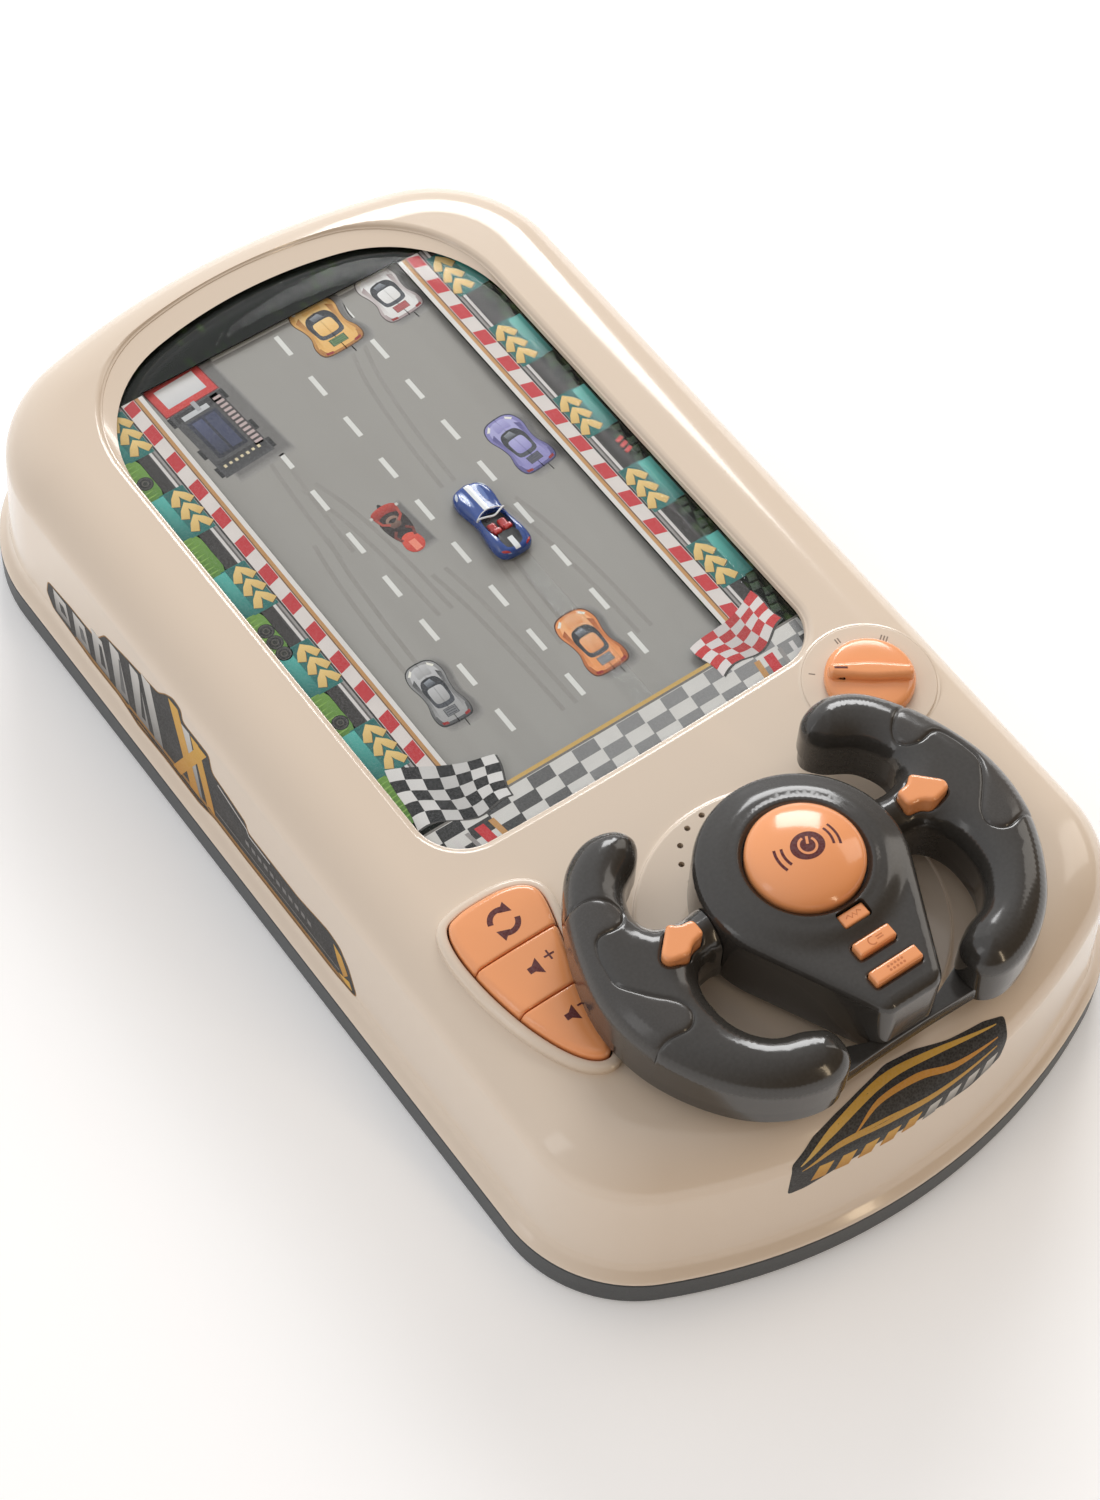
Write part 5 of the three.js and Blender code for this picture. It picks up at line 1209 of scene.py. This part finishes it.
loop_at, plus_at, minus_at = (-70.4, -79), (-71.4, -96.6), (-71.6, -114.6)
loop_marks = []
for flip_turn in (0, 180):
    sweep = arc_stroke(0, 0, 4.1, 20, 128, 1.7)
    head = np.array([(2.1, 2.3), (6.1, 2.3), (4.1, -1.2)])
    loop_marks += [set_at(part, *loop_at, flip_turn + 40) for part in (sweep, head)]
symbol("key_mark_loop", loop_marks, key_height, "pod_button_1")
plus = [set_at(rect(-1.7, -0.3, 1.7, 0.3), plus_at[0] + 5.2, plus_at[1] + 1.4, 0), set_at(rect(-0.3, 0.36, 0.3, 1.7), plus_at[0] + 5.2, plus_at[1] + 1.4, 0),
        set_at(rect(-0.3, -1.7, 0.3, -0.36), plus_at[0] + 5.2, plus_at[1] + 1.4, 0)]
symbol("key_mark_plus", [loudspeaker(*plus_at, 0.95, 0), *plus], key_height, "pod_button_2")
minus = set_at(rect(-1.7, -0.3, 1.7, 0.3), minus_at[0] + 4, minus_at[1] + 1.4, 0)
symbol("key_mark_minus", [loudspeaker(*minus_at, 0.9, 0), minus], key_height, "pod_button_3")

# ---------------------------------------------------------------- selector knob
# An orange knob with a bar handle turns over three printed marks on its round cream pad.

KNOB_LOW, KNOB_TOP, KNOB_TURN = 67.6, 74.6, -35
skirt_profile = [(0, KNOB_LOW), (13.6, KNOB_LOW), (14, KNOB_LOW + 0.4), (14, KNOB_LOW + 2), (13.7, KNOB_LOW + 2.8), (12.9, KNOB_LOW + 3.5),
                 (11.6, KNOB_LOW + 3.9), (8, KNOB_LOW + 4.15), (0, KNOB_LOW + 4.2)]
bar = softened(set_at([(-13.2, -2.2), (0, -3.1), (13.2, -2.2), (13.2, 2.2), (0, 3.1), (-13.2, 2.2)], KNOB_X, KNOB_Y, KNOB_TURN), 2, 5)
handle = plate(bar, KNOB_LOW + 1.6, lambda p: KNOB_TOP - rounding(distance(p, bar), 1.9), rings=(0.1, 0.35, 0.7, 1.2, 1.7), spacing=1)
flutes = joined(*[turned([(0, KNOB_LOW + 0.5), (0.45, KNOB_LOW + 0.5), (0.45, KNOB_LOW + 2.2), (0, KNOB_LOW + 2.5)],
                         KNOB_X + 13.95 * math.cos(t), KNOB_Y + 13.95 * math.sin(t), 8) for t in np.radians(np.arange(0, 360, 7.5))])
fit("selector_knob", joined(turned(skirt_profile, KNOB_X, KNOB_Y), handle, prism(ring_of(KNOB_X, KNOB_Y, 4.3, 32), 61, KNOB_LOW + 1)),
    orange, "gear_knob", "button_plastic", "gear_knob", crease=40)
pointer = set_at(rect(7.4, -0.35, 11.4, 0.35), KNOB_X, KNOB_Y, KNOB_TURN + 180)
symbol("knob_pointer", [pointer], lambda p: np.full(len(p), KNOB_TOP), "gear_knob")
dial = []
for bars, (x, y) in enumerate(((58.6, -59.6), (72.7, -54.5), (85.1, -61.7)), 1):
    lean = math.degrees(math.atan2(y - KNOB_Y, x - KNOB_X)) - 90
    for n in range(bars):
        dial.append((set_at(rect(-0.22, -1, 0.22, 1), x, y, lean) + set_at([(0.95 * (n - (bars - 1) / 2), 0)], 0, 0, lean), tint(128, 112, 98), 0))
ink_layers("dial_marks", dial, SHELL_TOP + 0.55, "casing", "shell_plastic")

# ---------------------------------------------------------------- steering wheel
# Two fat horned grips and a keyhole hub are moulded in warm dark grey ABS and screwed through a
# flat back plate. Smooth C-shaped inlays are let into the outside of the grips.

WHEEL_LOW, WHEEL_SPLIT, GRIP_TOP = 74, 80, 98
HUB_R, HUB_SHOULDER, HUB_TOP, NOSE_TOP, HORN_R = 31.6, 98.6, 103.6, 100.8, 17.4
POCKET_FLOOR = 95
wheel_grey = moulded("wheel_grey", tint(52, 49, 45), 0.14, tint(43, 40, 37), 0.02, 900, 0.000012, 0.25)
inlay_grey = moulded("inlay_grey", tint(58, 54, 50), 0.19, tint(48, 45, 42), 0.03, 1600, 0.00002, 0.1)
on_wheel = np.array([0, WHEEL_Y])

GRIP = spline([(-26, 8.8), (-38, 9.2), (-44.5, 11.6), (-46.3, 18), (-42.6, 26), (-34.6, 31.6), (-30.9, 37.6), (-34.6, 43.6), (-44, 45.2),
               (-54, 40), (-62.2, 28.6), (-68.2, 14), (-71.2, -1), (-69.8, -17), (-64, -31.6), (-54.6, -44.6), (-43, -53), (-31, -56),
               (-23.4, -52.4), (-22.8, -43.6), (-29, -38.6), (-38, -35), (-44, -26.4), (-45, -14.4), (-41, -6.4), (-34, -4.4), (-26, -5)], 8)
INLAY = softened([(-80, 36), (-62.4, 28.3), (-56, 27), (-50.6, 22.6), (-49.4, 18), (-53.4, 14.2), (-61.6, 15.6), (-64.4, 9.6), (-65.8, 0.4),
                  (-61.6, -6), (-54, -14), (-52.8, -18.6), (-56.6, -22.8), (-66, -20.8), (-72, -24), (-80, -30)], 2.6)
ARROW = softened([(-8.2, -1.4), (-7.4, -4.2), (-1, -5.6), (1.6, -3.2), (6.4, -2.4), (6.4, 3.2), (1.8, 3.6), (-0.6, 6.2)], 1.7) + (-43, 0.6)


def hub_outline(grow=0.0):
    """Keyhole: a round boss that runs down into a rounded nose."""
    return np.concatenate([arc(0, 0, HUB_R + grow, -28, 208, 90), arc(-6, -45, 6 + grow, 200, 262, 8), arc(6, -45, 6 + grow, 278, 340, 8)])


HUB_EDGE, HUB_CLEAR, ARROW_WELL = hub_outline(), hub_outline(0.35), inset(ARROW, -0.4)
GRIP_ROUND = 9.5


def grip_height(points):
    """Fat rounded grip that sinks a little at every seam."""
    top = GRIP_TOP - rounding(distance(points, GRIP), GRIP_ROUND)
    seam = distance(points, INLAY)
    top = top - 0.55 * np.exp(-(seam / 0.45) ** 2)
    well = distance(points, ARROW_WELL)
    return np.maximum(top, WHEEL_SPLIT + 1) - 0.35 * np.exp(-(well / 0.35) ** 2)


def both_sides(mesh):
    """The same mesh for the right side, turned inside out by mirroring and back again."""
    verts, faces = mesh
    return np.asarray(verts) * (-1, 1, 1), [loop[::-1] for loop in faces]


def lifted(mesh):
    """Moves a mesh drawn about the steering axis to its place on the toy."""
    return np.asarray(mesh[0]) + (0, WHEEL_Y, 0), mesh[1]


grip_rings = (0.1, 0.3, 0.65, 1.15, 1.8, 2.6, 3.6, 4.8, 6.2, 7.8)
grip = plate(GRIP, WHEEL_SPLIT + 0.3, grip_height, (INLAY, ARROW_WELL, HUB_CLEAR),
             lambda p: ~inside(p, INLAY) & ~inside(p, ARROW_WELL) & ~inside(p, HUB_CLEAR), grip_rings, 1.3)
inlay = plate(GRIP, WHEEL_SPLIT + 0.3, lambda p: grip_height(p) + 0.3 * (1 - np.exp(-(distance(p, INLAY) / 1.2) ** 2)), (INLAY,),
              lambda p: inside(p, INLAY), grip_rings, 1.3)
well_floor = plate(inset(ARROW_WELL, -0.2), GRIP_TOP - 9, lambda p: np.full(len(p), GRIP_TOP - 6.5), rings=(0.3,), spacing=3)
for side, turn_over in (("left", lambda m: m), ("right", both_sides)):
    fit(f"grip_{side}", lifted(turn_over(joined(grip, well_floor))), wheel_grey, "steering_wheel", "wheel_plastic", f"grip_{side}", crease=48)
    fit(f"grip_inlay_{side}", lifted(turn_over(inlay)), inlay_grey, "steering_wheel", "inlay_plastic", f"grip_inlay_{side}", crease=48)

BRIDGE = softened([(-30, -40), (-10, -48), (10, -48), (30, -40), (30, -52), (8, -51.4), (-8, -51.4), (-30, -52)], 1.5)
GRIP_BACK = inset(GRIP, 0.8)
back_top = lambda outline: (lambda p: WHEEL_SPLIT - rounding(distance(p, outline), 0.5))
back_half = plate(GRIP_BACK, WHEEL_LOW, back_top(GRIP_BACK), rings=(0.2, 0.5), spacing=3)
hub_back = plate(inset(HUB_EDGE, 0.8), WHEEL_LOW, lambda p: np.full(len(p), WHEEL_SPLIT - 0.02), (ring_of(0, 0, 4.3),), lambda p: ~inside(p, ring_of(0, 0, 4.3)),
                 (0.3,), 3)
bridge = plate(BRIDGE, WHEEL_LOW + 0.2, back_top(BRIDGE), rings=(0.2, 0.5), spacing=2)
fit("wheel_back", lifted(joined(back_half, both_sides(back_half), hub_back, bridge)), wheel_grey, "steering_wheel", "wheel_plastic", "wheel_back")

NOSE_KEYS = ((-21.9, 4.6), (-31.3, 6.4), (-40.8, 8.2))
KEY_DEPTH = 4.6
key_plans = [softened(rect(-half, y - KEY_DEPTH / 2, half, y + KEY_DEPTH / 2), 0.8) for y, half in NOSE_KEYS]
key_wells = [inset(plan, -0.4) for plan in key_plans]
horn_well = ring_of(0, 0, HORN_R + 0.5, 80)


def hub_height(points):
    """Dished ring round the horn button, running out on to the flat nose."""
    r = np.linalg.norm(points, axis=1)
    edge = distance(points, HUB_EDGE)
    climb = np.clip((HUB_R - r) / 9.6, 0, 1)
    ring = HUB_SHOULDER - 1.2 + (HUB_TOP - HUB_SHOULDER + 1.2) * np.sin(climb * math.pi / 2) ** 1.15
    lip = 0.5 * np.exp(-((r - HORN_R - 2.2) / 1.3) ** 2) - 0.9 * np.exp(-((r - HORN_R - 0.5) / 0.7) ** 2)
    nose = NOSE_TOP - 0.9 - 1.3 * np.clip(edge - 0.1, 0, 2.6) ** 0 * np.exp(-edge / 0.9)
    nose = nose + 0.9 * np.clip(edge / 3.2, 0, 1)
    for well in key_wells:
        nose = nose - 0.3 * np.exp(-(distance(points, well) / 0.3) ** 2)
    soft = 0.9
    top = soft * np.logaddexp(ring / soft, nose / soft)
    top = np.minimum(top, HUB_TOP + 0.2) + lip * (r < 27)
    return top - rounding(edge, 1.6)


hub = plate(HUB_EDGE, WHEEL_SPLIT + 0.3, hub_height, (horn_well, *key_wells),
            lambda p: ~inside(p, horn_well) & ~np.any([inside(p, well) for well in key_wells], axis=0),
            (0.1, 0.35, 0.7, 1.1, 1.6, 2.4, 3.4), 1.3)
wells_floor = turned([(0, POCKET_FLOOR - 2), (HORN_R + 1, POCKET_FLOOR - 2), (HORN_R + 1, POCKET_FLOOR), (0, POCKET_FLOOR)], 0, 0)
nose_floor = prism(rect(-9.4, -44.4, 9.4, -19), POCKET_FLOOR - 2, POCKET_FLOOR)
fit("wheel_hub", lifted(joined(hub, wells_floor, nose_floor)), wheel_grey, "steering_wheel", "wheel_plastic", "wheel_hub", crease=48)

# ---------------------------------------------------------------- wheel buttons
# The domed horn button, two arrows and three nose keys are glossy orange ABS caps on small
# springs. The horn's power sign is pad printed. The nose keys' shallow engraved marks are drawn as thin darker orange
# inks
# lying on the keys: the darker orange is painted shade standing in for the shade in the grooves.

HORN_BASE = 98
horn_curve = [(0, HORN_BASE), (17.1, HORN_BASE), (17.4, HORN_BASE + 0.3), (17.4, 104.2), (17.25, 105.1), (16.9, 105.9), (16.3, 106.6),
              (15.4, 107.25), (14.2, 107.9), (12.4, 108.65), (10, 109.4), (7.4, 110), (4.8, 110.4), (2.4, 110.57), (0, 110.6)]


def horn_height(points):
    r = np.linalg.norm(points, axis=1)
    return np.interp(r, [p[0] for p in horn_curve[:3:-1]], [p[1] for p in horn_curve[:3:-1]])


fit("horn_cap", lifted(turned(horn_curve)), orange, "horn_button", "button_plastic", "horn_button", crease=60)
ICON_TURN = -5
disc_mark = set_at(ring_of(0, 0, 1, 40), 0, 0, ICON_TURN, 5.2, 4.4)
ring_gap = [arc_stroke(0, 0, 2.6, 120, 420, 0.75, 22), stroke([(0, 0.4), (0, 2.9)], 0.8)]
waves = []
for side in (0, 180):
    for r in (7.6, 9.6):
        waves.append(set_at(arc_stroke(0, 0, r, -22, 22, 0.8), 0, 0, ICON_TURN + side))


def on_horn(outlines, lift, drop=0.12):
    parts = [plate(o, lambda p: horn_height(p) - drop, lambda p: horn_height(p) + lift, rings=(0.2,), spacing=0.6) for o in outlines]
    return lifted(joined(*parts))


ink_from("horn_mark", *on_horn([disc_mark, *waves], 0.045), MAROON, "horn_button", "button_plastic")
ink_from("horn_mark_power", *on_horn([set_at(o, 0, 0, ICON_TURN - 25) for o in ring_gap], 0.08, 0.04), tint(240, 158, 104), "horn_button", "button_plastic")

arrow_cap = plate(ARROW, GRIP_TOP - 4.6, lambda p: GRIP_TOP + 2.8 - rounding(distance(p, ARROW), 1.3), rings=(0.08, 0.25, 0.5, 0.85, 1.3), spacing=1)
fit("arrow_cap_left", lifted(arrow_cap), orange, "arrow_button_left", "button_plastic", "arrow_button_left", crease=60)
fit("arrow_cap_right", lifted(both_sides(arrow_cap)), orange, "arrow_button_right", "button_plastic", "arrow_button_right", crease=60)

def row(y, xs):
    return [ring_of(x, y, 0.42, 10) for x in xs]


# Painted shade: these marks are flat darker orange inks on the keys, not grooves; their colour stands in for the shade
# in engraved grooves.
groove_shade_marks = (
    [stroke([(-2.6, -21.9), (-1.6, -21.1), (-0.8, -22.5), (0, -21.2), (0.8, -22.5), (1.6, -21.1), (2.6, -21.9)], 0.4)],
    [arc_stroke(-0.8, -31.3, 1.3, 60, 300, 0.4), rect(0.6, -31.9, 2.8, -31.5), rect(0.6, -31.1, 2.8, -30.7)],
    [*row(-40.2, (-2.4, -1.2, 0, 1.2, 2.4)), *row(-41.5, (-2.4, -1.2, 0, 1.2, 2.4))],
)
for number, (plan, marks) in enumerate(zip(key_plans, groove_shade_marks), 1):
    top = lambda p, plan=plan: NOSE_TOP + 2.2 - rounding(distance(p, plan), 0.9)
    fit(f"nose_key_{number}", lifted(plate(plan, POCKET_FLOOR + 1.6, top, rings=(0.08, 0.25, 0.5, 0.9), spacing=1)), orange,
        f"nose_button_{number}", "button_plastic", f"nose_button_{number}", crease=60)
    parts = joined(*[plate(mark, lambda p: np.full(len(p), NOSE_TOP + 2), lambda p: np.full(len(p), NOSE_TOP + 2.23), rings=(0.15,), spacing=0.7) for mark in marks])
    # Darker orange painted shade where the real key has engraved grooves.
    ink_from(f"nose_groove_shade_{number}", *lifted(parts), tint(206, 120, 62), f"nose_button_{number}", "button_plastic")
